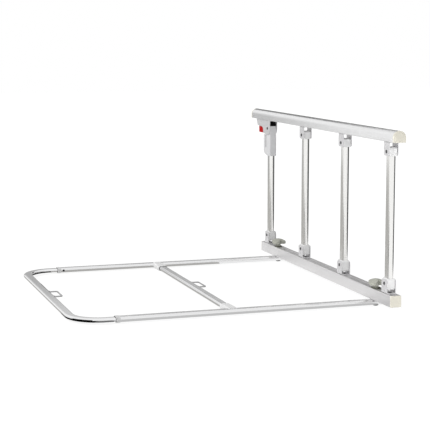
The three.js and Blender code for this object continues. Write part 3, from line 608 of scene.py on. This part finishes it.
def boxed(half_x, half_y, corner, height, steps=6):
    """Rectangles with round corners, one for each height: the arcs are centred on
    (half_x - corner, half_y - corner). The measures may be one value or one for each height."""
    half_x, half_y, corner, height = np.broadcast_arrays(half_x, half_y, corner, height)
    angle = np.linspace(0, math.pi / 2, steps)
    angle = np.concatenate([angle + quarter * math.pi / 2 for quarter in range(4)])
    side_x = np.repeat([1, -1, -1, 1], steps)
    side_y = np.repeat([1, 1, -1, -1], steps)
    x = side_x * (half_x - corner)[:, None] + corner[:, None] * np.cos(angle)
    y = side_y * (half_y - corner)[:, None] + corner[:, None] * np.sin(angle)
    return np.stack([x, y, np.broadcast_to(height[:, None], x.shape)], -1)


def plug_rows(below, above, place, upright):
    """Sections of a plug from its foot to its shoulder. The lower corners follow a quarter circle,
    the shoulder falls in straight to the tube's width."""
    inset, rise = quarter_round(plug_corner, 9)
    height = np.concatenate([rise - below, above - shoulder_drops])
    half_y = plug_half_depth - np.concatenate([inset, np.zeros(len(shoulder_drops))])
    half_x = plug_half_width - np.concatenate([plug_rim * (inset / plug_corner) ** 2, shoulder_insets])
    return boxed(half_x, half_y, plug_plan_corner, height) * (1, 1, upright) + np.array(place, float)


plug_reach = {"foot": (foot_plug_below, foot_plug_above), "head": (head_plug_below, head_plug_above)}
for place, number, post_y in bracketed:
    pin_height, _, upright, _ = hinge_ends[place]
    rows = plug_rows(*plug_reach[place], (rail_middle, post_y, pin_height), upright)
    built(f"{place}_block_{number}", white_nylon, f"post_{number}", [f"{place}_plug_{number}"], rows)


# Posts: flat-oval aluminium tubes, polished and clear anodised, with their broad sides along the
# rail. Drawing lines run up the tube.
post_rim = 0.3
first_post_stop = 26
post_metal = metal_finish(
    "polished_post", "brushed_aluminium", (0.84, 0.835, 0.82), 1.0, 0.14, (700, 700, 4), 0.04, 0.003, 0.05
)


def stadium(half_width, half_height, middle=(0, 0)):
    """A flat oval: a rectangle whose short sides are half circles."""
    corners = np.array(rectangle(-half_width, -half_height, half_width, half_height)) + middle
    return filleted(corners, min(half_width, half_height))


post_bottom = foot_pin_height + foot_plug_above + fit_gap
for number, post_y in enumerate(post_rows, 1):
    top = head_pin_height - fit_gap - (first_post_stop if number == 1 else head_plug_above)
    outline = stadium(post_half_width, post_half_depth, (rail_middle, post_y))
    tube = carried(outline, run(post_bottom, top, post_rim, 2), "z")
    built(f"post_{number}_tube", post_metal, f"post_{number}", [f"post_tube_{number}"], tube)


# Handrail: a D-section aluminium extrusion, satin anodised like the bar, flat side down on the
# post heads.
rail_half_width = 17.25
rail_height = 30
rail_foot_corner = 1.5
rail_near = -478.5
rail_far = 565.5
rail_metal = metal_finish(
    "satin_rail", "brushed_aluminium", (0.79, 0.79, 0.795), 0.8, 0.2, bar_grain, 0.04, 0.003, 0.05
)


def d_outline(inset=0.0, steps=None):
    """The handrail's section drawn in by an inset: a half circle over two small round corners."""
    half = rail_half_width - inset
    foot = max(rail_foot_corner - inset, least_corner)
    crown = half - 1e-3
    corners = np.array(rectangle(-half, inset, half, rail_height - inset)) + (rail_middle, rail_underside)
    return filleted(corners, [foot, foot, crown, crown], steps)


rail = carried(d_outline(), run(rail_near, rail_far), "y")
built("rail_extrusion", rail_metal, "handrail_body", ["handrail"], rail)


# Handrail caps: ivory nylon, moulded with a round rim and a flat field that stands a little proud,
# and pressed into each end of the rail.
rail_cap_flange = 7
rail_cap_rim = 1.6
rail_cap_border = 4.5
rail_cap_step = 1.0
rail_cap_field_rim = 0.5


def rail_cap_outline(inset):
    """The handrail's section drawn in by an inset, with the same count of points."""
    return d_outline(inset, 17)


field_insets, field_depths = quarter_round(rail_cap_field_rim, 4)
rim_insets, rim_depths = quarter_round(rail_cap_rim, 7)
insets = np.concatenate([rail_cap_border + field_insets, [rail_cap_border], rim_insets, [0]])
depths = np.concatenate([field_depths - rail_cap_step, [0], rim_depths, [rail_cap_flange]])
for end, face, side in (("near", rail_near, -1), ("far", rail_far, 1)):
    rows = cap_rows(rail_cap_outline, face, side, rail_cap_flange, insets, depths)
    built(f"rail_cap_{end}", ivory_nylon, "handrail_body", [f"handrail_cap_{end}"], rows)


# Latch bracket: a longer folded sheet-steel channel under the rail. Its cheeks have a round nose
# about the head rivet, a toe over the housing and an arch that leaves the trigger free. Their edge
# is drawn by its reach from the rivet and its drop below it.
nose_radius = 19.5
toe_reach = 38.8
toe_drop = 16.5
arch_centre = 66
arch_rise = 20
arch_squareness = 0.5
latch_reach = 100
least_flange = 0.3
pin_below_rail = rail_underside - head_pin_height
first_post_y = post_rows[0]
tail = np.array([(90, -5), (92, -9), (96, -17), (latch_reach, -pin_below_rail)])

turn = np.linspace(0, math.pi / 2, 14)
arch_y = arch_centre - (arch_centre - toe_reach) * np.abs(np.cos(turn)) ** arch_squareness
arch_drop = toe_drop - arch_rise * np.sin(turn) ** arch_squareness
stations = np.concatenate([-nose_radius * np.cos(turn), arch_y, tail[:, 0]])
drops = np.concatenate([nose_radius * np.sin(turn), arch_drop, tail[:, 1]])
leg_heights = np.maximum(pin_below_rail + drops, bracket_bend + least_flange)
rows = channel_rows(first_post_y + stations, leg_heights, rail_underside, -1)
built("latch_channel", sheet_steel, "handrail_body", ["latch_bracket"], rows, rims=sheet_rim)


# Latch housing: a painted die-cast sleeve over the first post. It bulges to the front, has a
# groove down each side with a black strip of painted shade in its bed, and carries a narrower
# head between the cheeks.
housing_half_width = 11.7
housing_head_half_width = 10.4
housing_back = 17
housing_head_front = 24
housing_top = 7.5
housing_shoulder = 20.6
housing_drop = 86
housing_bulge = 40
housing_sweep = 17
housing_toe = 0.5
housing_corner = 4
housing_rim_insets = [0.35, 1.2]
housing_foot_insets = [0.8, 0.25]
head_corner = 1.2
head_rim = np.array([0, 0.18, 0.6])
groove_front = 17.5
groove_half_width = 3
groove_depth = 1.2
groove_length = 40
groove_corner = 0.8
groove_over = 5
strip_half_width = 2.1
strip_half_thickness = 0.25
strip_corner = 0.2
strip_lift = 0.3
strip_end_gaps = (0.8, -0.4)
housing_paint = metal_finish(
    "housing_paint", "silver_sheet", (0.66, 0.66, 0.67), 0.05, 0.45, (220, 220, 220), 0.04, 0.02, 0.1
)
# The groove strips' near-black is painted shade for the grooves' shaded beds, not a paint the housing has.
shadow_paint = metal_finish(
    "groove_painted_shade", "silver_sheet", (0.05, 0.05, 0.052), 0.05, 0.5, (220, 220, 220), 0.1, 0.02, 0.1
)


def drilled(piece, cutter):
    """The piece less the cutter's shape, with the cut made part of its mesh."""
    piece.modifiers.clear()
    cut = piece.modifiers.new("cut", "BOOLEAN")
    cut.object = cutter
    bpy.context.view_layer.update()
    evaluated = piece.evaluated_get(bpy.context.evaluated_depsgraph_get())
    piece.data = bpy.data.meshes.new_from_object(evaluated)
    piece.modifiers.remove(cut)
    bpy.data.objects.remove(cutter)
    return edged(piece)


def both_sides(grid, reach):
    """Two copies of a grid on the housing's groove line, at a reach to each side."""
    return [grid + pin_place + (side * reach, groove_front, 0) for side in (-1, 1)]


pin_place = np.array([rail_middle, first_post_y, head_pin_height])
sweep = quarter_round(housing_sweep, 16)[1] - housing_drop
front = housing_bulge * np.sin(np.linspace(0, math.pi / 2, 16))
front[0] = housing_toe
front = np.append(front, [housing_bulge] * 3)
drop = np.concatenate([sweep, -housing_shoulder - np.array([1.2, 0.35, 0])])
inset = np.zeros(len(drop))
inset[:2] = housing_foot_insets
inset[-2:] = housing_rim_insets
rows = boxed(housing_half_width - inset, (front + housing_back) / 2 - inset, housing_corner, drop)
rows[..., 1] += ((front - housing_back) / 2)[:, None]
housing = solid_of("latch_sleeve", rows + pin_place)
groove_z = np.array([-housing_shoulder - groove_length, -housing_shoulder + groove_over])
groove = boxed(2 * groove_depth, groove_half_width, groove_corner, groove_z)
drilled(housing, solid_of("groove_cutter", *both_sides(groove, housing_half_width + groove_depth)))
dressed(housing, housing_paint, "post_1", "latch_housing")

# Black sheets lie in the grooves' beds as painted shade where the grooves would be shaded.
strip_z = groove_z + strip_end_gaps - (0, groove_over)
strip = boxed(strip_half_thickness, strip_half_width, strip_corner, strip_z)
strips = both_sides(strip, housing_half_width - groove_depth + strip_lift)
built("groove_shade_strips", shadow_paint, "post_1", [], *strips)

head_z = np.array([-housing_shoulder - 1, *(housing_top - head_rim[::-1])])
inset = np.append(0, head_rim)
half_y = (housing_head_front + housing_back) / 2 - inset
rows = boxed(housing_head_half_width - inset, half_y, head_corner, head_z)
rows[..., 1] += (housing_head_front - housing_back) / 2
built("latch_head", housing_paint, "post_1", [], rows + pin_place)


# Latch cam: a black acetal block on the housing's head, round about the rivet, with a notch that
# the trigger's tongue drops into.
cam_radius = 22.8
cam_back = 12
cam_low = housing_top + fit_gap
cam_rim = 0.5
notch_radius = 2.2
notch_turn = math.radians(30)
black_acetal = plastic_finish("black_acetal", "black_plastic", (0.002, 0.002, 0.0025), 0.5, gloss=0.06)


def with_normals(points):
    """Counter-clockwise points with outward normals, square to the line through the neighbours."""
    points = np.array(points, float)
    along = np.roll(points, -1, axis=0) - np.roll(points, 1, axis=0)
    normals = np.stack([along[:, 1], -along[:, 0]], -1)
    return points, normals / np.linalg.norm(normals, axis=1, keepdims=True)


def arc_points(centre, radius, first, last, count):
    """Points on a circular arc from one angle to another."""
    angle = np.linspace(first, last, count)
    return np.stack([centre[0] + radius * np.cos(angle), centre[1] + radius * np.sin(angle)], -1)


def latch_part(outline, half_width, rim, steps):
    """An outline in y and z from the head rivet, carried to both sides of the rail's middle."""
    points, normals = outline
    sections = run(rail_middle - half_width, rail_middle + half_width, rim, steps)
    return carried((points + pin_place[1:], normals), sections, "x")


notch_centre = (cam_radius * math.cos(notch_turn), cam_radius * math.sin(notch_turn))
half_mouth = 2 * math.asin(notch_radius / (2 * cam_radius))
mouth = math.pi / 2 + half_mouth / 2
first = math.asin(cam_low / cam_radius)
last = math.pi - math.acos(cam_back / cam_radius)
notch = arc_points(notch_centre, notch_radius, notch_turn - mouth, notch_turn + mouth - 2 * math.pi, 9)
cam_arcs = [
    arc_points((0, 0), cam_radius, first, notch_turn - half_mouth, 6),
    notch[1:-1],
    arc_points((0, 0), cam_radius, notch_turn + half_mouth, last, 24),
    [(-cam_back, cam_low)],
]
cam_outline = with_normals(np.concatenate(cam_arcs))
cam = latch_part(cam_outline, housing_head_half_width, cam_rim, 3)
built("cam_block", black_acetal, "post_1", ["latch_cam"], cam)


# Release trigger: glossy red nylon. A broad paddle hangs below its pin, and a narrow tongue reaches
# back to the cam.
trigger_pin_reach = 68
trigger_pin_rise = 12
trigger_boss = 6.5
paddle_back, paddle_front = 50, 90
paddle_top, paddle_bottom = 4, -17
paddle_corner = 3
paddle_notch = 0.5
paddle_half_width = 8
paddle_rim = 1.2
tongue_half_width = 5
tongue_low, tongue_high = 9.5, 15
tongue_gap = 0.6
tongue_corner = 0.8
tongue_rim = 0.5
red_nylon = plastic_finish("red_nylon", "red_plastic", (0.44, 0.002, 0.003), 0.4, 0.02, 0.05, 0.1, 0.04)

right = math.pi / 2
low_z, high_z = paddle_bottom + paddle_corner, paddle_top - paddle_corner
front_y = paddle_front - paddle_corner
paddle_arcs = [
    arc_points((paddle_back + paddle_corner, low_z), paddle_corner, 2 * right, 3 * right, 7),
    arc_points((front_y, low_z), paddle_corner, 3 * right, 4 * right, 7),
    arc_points((front_y, high_z), paddle_corner, 0, right, 7),
    [(trigger_pin_reach + trigger_boss, paddle_top)],
    arc_points((trigger_pin_reach, trigger_pin_rise), trigger_boss, 0, 2 * right, 20),
    [(paddle_back + paddle_notch, paddle_top), (paddle_back, paddle_top - paddle_notch)],
]
tongue_tip = math.sqrt((cam_radius + tongue_gap) ** 2 - tongue_low**2)
tongue_outline = filleted(rectangle(tongue_tip, tongue_low, trigger_pin_reach, tongue_high), tongue_corner)
paddle = latch_part(with_normals(np.concatenate(paddle_arcs)), paddle_half_width, paddle_rim, 5)
tongue = latch_part(tongue_outline, tongue_half_width, tongue_rim, 3)
built("trigger_rocker", red_nylon, "trigger", ["release_trigger"], paddle, tongue)


# Trigger pin: a plain steel rivet through the latch cheeks, with two low closed heads.
profile = rivet_profile(radius=2, head_radius=3.6, head_height=0.8, hollow_radius=1.0, hollow_depth=0.4)
pin = turned(profile, pin_place + (0, trigger_pin_reach, trigger_pin_rise), "x")
built("trigger_rivet", sheet_steel, "handrail_body", ["trigger_pin"], pin)


# Trigger spring: zinc-plated wire wound to a helix between the tongue and the bracket.
spring_reach = 48
spring_radius = 2.8
spring_wire = 0.45
spring_turns = 4
spring_low, spring_high = 15.75, 22.55


def swept(section, path, side, up):
    """Sections set square to a path: a point's first measure lies along the path's side
    direction and its second along the up direction."""
    section = np.asarray(section, float)
    side = np.broadcast_to(side, path.shape)
    up = np.broadcast_to(up, path.shape)
    return path[:, None] + section[None, :, :1] * side[:, None] + section[None, :, 1:] * up[:, None]


angle = np.linspace(0, 2 * math.pi * spring_turns, 24 * spring_turns + 1)
outward = np.stack([np.cos(angle), np.sin(angle), np.zeros_like(angle)], -1)
path = outward * spring_radius
path[:, 2] = np.linspace(spring_low, spring_high, len(angle))
tangent = np.gradient(path, axis=0)
tangent /= np.linalg.norm(tangent, axis=1, keepdims=True)
wire = arc_points((0, 0), spring_wire, 0, 2 * math.pi, 9)[:-1]
coil = swept(wire, path + pin_place + (0, spring_reach, 0), outward, np.cross(tangent, outward))
spring = built("trigger_coil", zinc_steel, "handrail_body", ["trigger_spring"], coil)
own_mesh(spring)


# Side tubes: flat-oval steel tubes, chrome-plated, that reach under the mattress. The bar stands
# on them, and a bolt comes up through both at each end.
tube_rows = {"near": -361.5, "far": 361.5}
tube_half_width = 13.5
tube_half_height = 6.8
tube_inner_end = -687
tube_outer_end = 28
tube_middle_z = -6.85
tube_chrome = metal_finish(
    "tube_chrome", "chromed_steel", (0.8, 0.8, 0.805), 1.0, 0.13, (6, 700, 700), 0.03, 0.008, 0.06
)
for end, tube_y in tube_rows.items():
    outline = stadium(tube_half_width, tube_half_height, (tube_y, tube_middle_z))
    tube = carried(outline, run(tube_inner_end, tube_outer_end), "x")
    built(f"side_rail_{end}", tube_chrome, "base", [f"side_tube_{end}"], tube)


# Side tube plugs: white nylon flanges pressed into the outer ends of the side tubes.
tube_plug_flange = 2
tube_plug_rim = 0.5
for end, tube_y in tube_rows.items():
    outline = stadium(tube_half_width, tube_half_height, (tube_y, tube_middle_z))
    sections = run(tube_outer_end + fit_gap, tube_outer_end + tube_plug_flange, tube_plug_rim, 3)
    plug = carried(outline, sections, "x")
    built(f"tube_end_plug_{end}", white_nylon, "base", [f"side_tube_plug_{end}"], plug)


# Clamp bolts: blackened steel carriage bolts. The low round head lies under the side tube, and
# the shank comes up through the bar into the knob.
clamp_x = 12.8
bolt_radius = 4
bolt_head_radius = 8
bolt_head_height = 3.6
bolt_crown_start = 0.3
bolt_rim_share = 0.25
bolt_top = bar_side + 18
black_steel = metal_finish(
    "black_steel", "zinc_steel", (0.025, 0.025, 0.027), 0.5, 0.4, (500, 500, 500), 0.1, 0.02, 0.15
)

under = tube_middle_z - tube_half_height - fit_gap
turn = np.linspace(bolt_crown_start, math.pi / 2, 8)
crown_z = under - bolt_head_height * (bolt_rim_share + (1 - bolt_rim_share) * np.cos(turn))
crown = zip(bolt_head_radius * np.sin(turn), crown_z)
profile = [*crown, (bolt_head_radius, under), (bolt_radius, under), (bolt_radius, bolt_top)]
for end, tube_y in tube_rows.items():
    bolt = turned(profile, (clamp_x, tube_y, 0), "z")
    built(f"carriage_bolt_{end}", black_steel, "base", [f"clamp_bolt_{end}"], bolt)


# Clamp knobs: olive-grey nylon with three lobes under one low dome, on a round hub that turns on
# the bolt and presses the bar down on the side tube.
knob_foot = bar_side + 0.3
knob_height = 24.5
knob_hub_radius = 7.6
knob_underside = 8.5
knob_core_radius = 10
knob_core_blend = 1.5
knob_lobe_reach = 24
knob_lobe_radius = 11.4
knob_dome_radius = 36
knob_edge = 3
knob_edge_fall = 0.12
knob_rim = 1.2
knob_hub_rim = 0.5
knob_turns = {"near": -17, "far": -13}
olive_nylon = plastic_finish("olive_nylon", "grey_plastic", (0.4, 0.405, 0.355), 0.36, 0.03, 0.05, gloss=0.35)


def knob_rows(spin, steps=96):
    """The knob from the middle of its crown to its foot, turned by an angle. The plan is the
    farthest reach, in each direction, of three circles on lobe axes a third of a turn apart and of
    a round core. The crown is a sphere, and a quarter round leads from it to the side."""
    angle = np.linspace(0, 2 * math.pi, steps, endpoint=False)
    off_axis = (angle + math.pi / 3) % (2 * math.pi / 3) - math.pi / 3
    centre = knob_lobe_reach - knob_lobe_radius
    lobe = centre * np.cos(off_axis) + np.sqrt(knob_lobe_radius**2 - (centre * np.sin(off_axis)) ** 2)
    apart = np.sqrt((lobe - knob_core_radius) ** 2 + knob_core_blend)
    reach = np.minimum((lobe + knob_core_radius + apart) / 2, knob_lobe_reach)

    def dome(radius):
        return knob_height - knob_dome_radius + np.sqrt(knob_dome_radius**2 - radius**2)

    inner = reach - knob_edge
    share = np.array([0.05, 0.2, 0.4, 0.6, 0.8, 1.0])[:, None]
    turn = np.linspace(0, math.pi / 2, 7)[1:, None]
    edge_fall = knob_edge * (1 - np.cos(turn)) + knob_edge_fall * knob_edge * np.sin(turn)
    rim_inset, rim_rise = quarter_round(knob_rim, 5)[::-1]
    hub = knob_hub_radius + np.array([knob_rim, 0, 0, -knob_hub_rim])[:, None]
    hub_z = np.array([knob_underside, knob_underside - knob_rim, knob_hub_rim, 0])[:, None]
    under_z = knob_underside + rim_rise[:, None]
    ring = np.ones(steps)
    radius = [inner * share, inner + knob_edge * np.sin(turn), reach - rim_inset[:, None], ring * hub]
    height = [dome(inner * share), dome(inner) - edge_fall, ring * under_z, ring * hub_z]
    radius, height = np.concatenate(radius), np.concatenate(height)
    return np.stack([radius * np.cos(angle + spin), radius * np.sin(angle + spin), height], -1)


for end, tube_y in tube_rows.items():
    knob = knob_rows(math.radians(knob_turns[end])) + (clamp_x, tube_y, knob_foot)
    built(f"lobed_knob_{end}", olive_nylon, f"knob_{end}", [f"clamp_knob_{end}"], knob)


# Knob shadow rings: dark olive rings that lie on the bar round each knob's hub, painted shadow of
# the knob on the bar.
knob_shadow_paint = plastic_finish("knob_shadow_paint", "grey_plastic", (0.13, 0.13, 0.1), 0.5, gloss=0.2)
knob_shadow_profile = [(8.4, 0.02), (8.4, 1.3), (8.8, 1.6), (11.6, 1.6), (12.2, 1.3), (12.4, 0.8), (12.4, 0.02)]
for end, tube_y in tube_rows.items():
    ring = turned([*knob_shadow_profile, knob_shadow_profile[0]], (clamp_x, tube_y, bar_side), "z", 48)
    built(f"knob_shadow_ring_{end}", knob_shadow_paint, "base", [], ring)


# Tube collars: white nylon sleeves over the side tubes' open ends, whose lip guides the sliding
# leg. A thin black ring round the leg in the mouth is painted shade for the shadow gap there.
collar_wall = 0.9
collar_lip = 2.2
collar_hold = 8
collar_rim = 0.6
mouth_shade_half_width = 12.9
mouth_shade_half_height = 6.2
mouth_shade_rim = 0.2
leg_mouth_shade_front, leg_mouth_shade_back = 3, 2.1
collar_nylon = plastic_finish("collar_nylon", "white_plastic", (0.62, 0.62, 0.62), 0.4)
for end, tube_y in tube_rows.items():
    middle = (tube_y, tube_middle_z)
    outline = stadium(tube_half_width + collar_wall, tube_half_height + collar_wall, middle)
    sections = run(tube_inner_end - collar_lip, tube_inner_end + collar_hold, collar_rim, 4)
    collar = carried(outline, sections, "x")
    built(f"guide_collar_{end}", collar_nylon, "base", [f"tube_collar_{end}"], collar)
    # The black ring round the leg is painted shade for the shadow gap in the collar's mouth.
    outline = stadium(mouth_shade_half_width, mouth_shade_half_height, middle)
    sections = run(tube_inner_end - leg_mouth_shade_front, tube_inner_end - leg_mouth_shade_back, mouth_shade_rim, 2)
    built(f"leg_mouth_shade_{end}", black_acetal, "base", [], carried(outline, sections, "x"))


# Lock screws: blackened socket-head screws in the side tubes' inward sides that hold the sliding
# legs. The profile runs from the socket's floor over the head to the shank.
screw_x = tube_inner_end + 15
lock_profile = [(1.2, 0.8), (1.4, 2), (2.9, 2), (3.2, 1.7), (3.2, 0), (2.2, 0), (2.2, -1.2)]
for end, tube_y in tube_rows.items():
    side = -np.sign(tube_y)
    screw_place = (screw_x, tube_y + side * (tube_half_width + fit_gap), tube_middle_z)
    screw = turned(np.array(lock_profile) * (1, side), screw_place, "y", 24)
    built(f"socket_screw_{end}", black_steel, "base", [f"lock_screw_{end}"], screw)


# Cross bar: a flat-oval tube of the same chromed steel that spans the two side tubes.
cross_x = -381.6
cross_half_width = 12
cross_half_height = 6
cross_half_length = 289
cross_rim = 0.3
cross_chrome = metal_finish(
    "cross_chrome", "chromed_steel", (0.8, 0.8, 0.805), 1.0, 0.13, (700, 6, 700), 0.03, 0.008, 0.06
)
outline = stadium(cross_half_width, cross_half_height, (cross_x, tube_middle_z))
cross = carried(outline, run(-cross_half_length, cross_half_length, cross_rim, 2), "y")
built("cross_tube", cross_chrome, "base", ["cross_bar"], cross)


# Cross bar sockets: white nylon sleeves that grip half of a side tube and thin towards the cross
# bar. A dark set screw sits in a hole in the side that faces the mattress end, and a thin black
# ring round the cross bar at the mouth is painted shade for the shadow gap there.
socket_half_width = 13.5
socket_high = 8.4
socket_low = 7
socket_face = 71
socket_grip = 15.1
socket_corner = 5
socket_rim = np.array([0, 0.25, 0.9])
socket_screw_reach = 36.5
hole_profile = [(2, -1), (2, 4)]
set_screw_profile = [(0.9, 1.4), (1.0, 0.9), (1.6, 0.9), (1.85, 1.1), (1.85, 4.2)]
socket_mouth_shade_wide, socket_mouth_shade_high = 0.9, 0.6
socket_mouth_shade_overlap = 0.1
socket_mouth_shade_length = 0.9

rims = np.concatenate([[0, 0, 0], socket_rim])
corners = socket_corner - np.array([0, 0, 0, 0, 0.2, 0.8])
reach = np.array([0, 0.4, socket_grip, *(socket_face - socket_rim[::-1])])
high = np.array([socket_high] * 3 + [socket_low] * 3) - rims
mouth_shade_half = (cross_half_width + socket_mouth_shade_wide, cross_half_height + socket_mouth_shade_high)
ring_outline = stadium(*mouth_shade_half, (cross_x, tube_middle_z))
for end, tube_y in tube_rows.items():
    side = -np.sign(tube_y)
    rows = boxed(socket_half_width - rims, high, corners, reach)
    rows = np.stack([rows[..., 0], side * rows[..., 2], rows[..., 1]], -1)
    socket = solid_of(f"cross_socket_{end}", rows + (cross_x, tube_y, tube_middle_z))
    screw_place = (cross_x - socket_half_width, tube_y + side * socket_screw_reach, tube_middle_z)
    drilled(socket, solid_of("hole_cutter", turned(hole_profile, screw_place, "x", 24)))
    dressed(socket, white_nylon, "base", f"cross_bar_socket_{end}")
    screw = turned(set_screw_profile, screw_place, "x", 24)
    built(f"socket_set_screw_{end}", black_steel, "base", [], screw)
    # The black ring at the socket's mouth is painted shade for the shadow gap round the cross bar.
    ring_start = tube_y + side * (socket_face - socket_mouth_shade_overlap)
    low, high_end = sorted((ring_start, ring_start + side * socket_mouth_shade_length))
    ring = carried(ring_outline, run(low, high_end, mouth_shade_rim, 2), "y")
    built(f"socket_mouth_shade_{end}", black_acetal, "base", [], ring)


# End tube: one chromed flat-oval tube bent twice to a U, whose legs slide in the side tubes. Its
# bends are polished brighter than the drawn tubes.
end_bar_x = -789
end_bend = 78
end_leg_x = -555
end_half_width = 12
end_half_height = 5.3
upward = np.array([0, 0, 1.0])
end_chrome = metal_finish(
    "end_chrome", "chromed_steel", (0.84, 0.84, 0.845), 1.0, 0.07, (60, 60, 60), 0.02, 0.006, 0.05
)


def u_path(leg_end, end, half_span, bend, steps=20):
    """Points and outward side directions of a U: along one leg, round a quarter circle, across,
    round another and back along the other leg."""
    turn = np.linspace(0, math.pi / 2, steps)
    inset, depth = quarter_round(bend, steps)
    first = np.stack([end + inset, half_span - depth], -1)
    first_side = np.stack([-np.sin(turn), np.cos(turn)], -1)
    second = first[::-1] * (1, -1)
    second_side = first_side[::-1] * (1, -1)
    flat = np.concatenate([[(leg_end, half_span)], first, second, [(leg_end, -half_span)]])
    side = np.concatenate([[(0, 1)], first_side, second_side, [(0, -1)]])
    zero = np.zeros((len(flat), 1))
    return np.concatenate([flat, zero], -1), np.concatenate([side, zero], -1)


path, side = u_path(end_leg_x, end_bar_x, tube_rows["far"], end_bend)
section = stadium(end_half_width, end_half_height)[0]
hoop = swept(section, path + (0, 0, tube_middle_z), side, upward)
built("end_hoop", end_chrome, "end_frame", ["end_tube"], hoop)


# Strap loops: bent steel wire, bright plated, welded to the cross bar and to the end bar. A short
# dark weld bead sits at each foot.
loop_wire = 2
loop_reach = 22
loop_half_span = 35
loop_bend = 6
loop_foot = 0.3
loops = {
    "middle": (cross_x + cross_half_width + loop_foot, 12, "base"),
    "end": (end_bar_x + end_half_width + loop_foot, 0, "end_frame"),
}
bead_profile = [(2.4, 1.6), (2.9, 0.8), (3.1, 0), (3.0, -0.9), (2.4, -1.8)]
loop_metal = metal_finish(
    "loop_wire", "chromed_steel", (0.45, 0.45, 0.455), 1.0, 0.2, (300, 300, 300), 0.05, 0.006, 0.08
)
wire = arc_points((0, 0), loop_wire, 0, 2 * math.pi, 17)[:-1]
path, side = u_path(0, -loop_reach, loop_half_span, loop_bend, 10)
rows = swept(wire, path, side, upward) * (-1, 1, 1)
for name, (loop_x, loop_y, body) in loops.items():
    loop = rows + (loop_x, loop_y, tube_middle_z)
    built(f"wire_loop_{name}", loop_metal, body, [f"strap_loop_{name}"], loop)
    beads = [
        turned(bead_profile, (loop_x, loop_y + shift, tube_middle_z), "x", 20)
        for shift in (-loop_half_span, loop_half_span)
    ]
    built(f"loop_weld_{name}", zinc_steel, body, [], *beads)
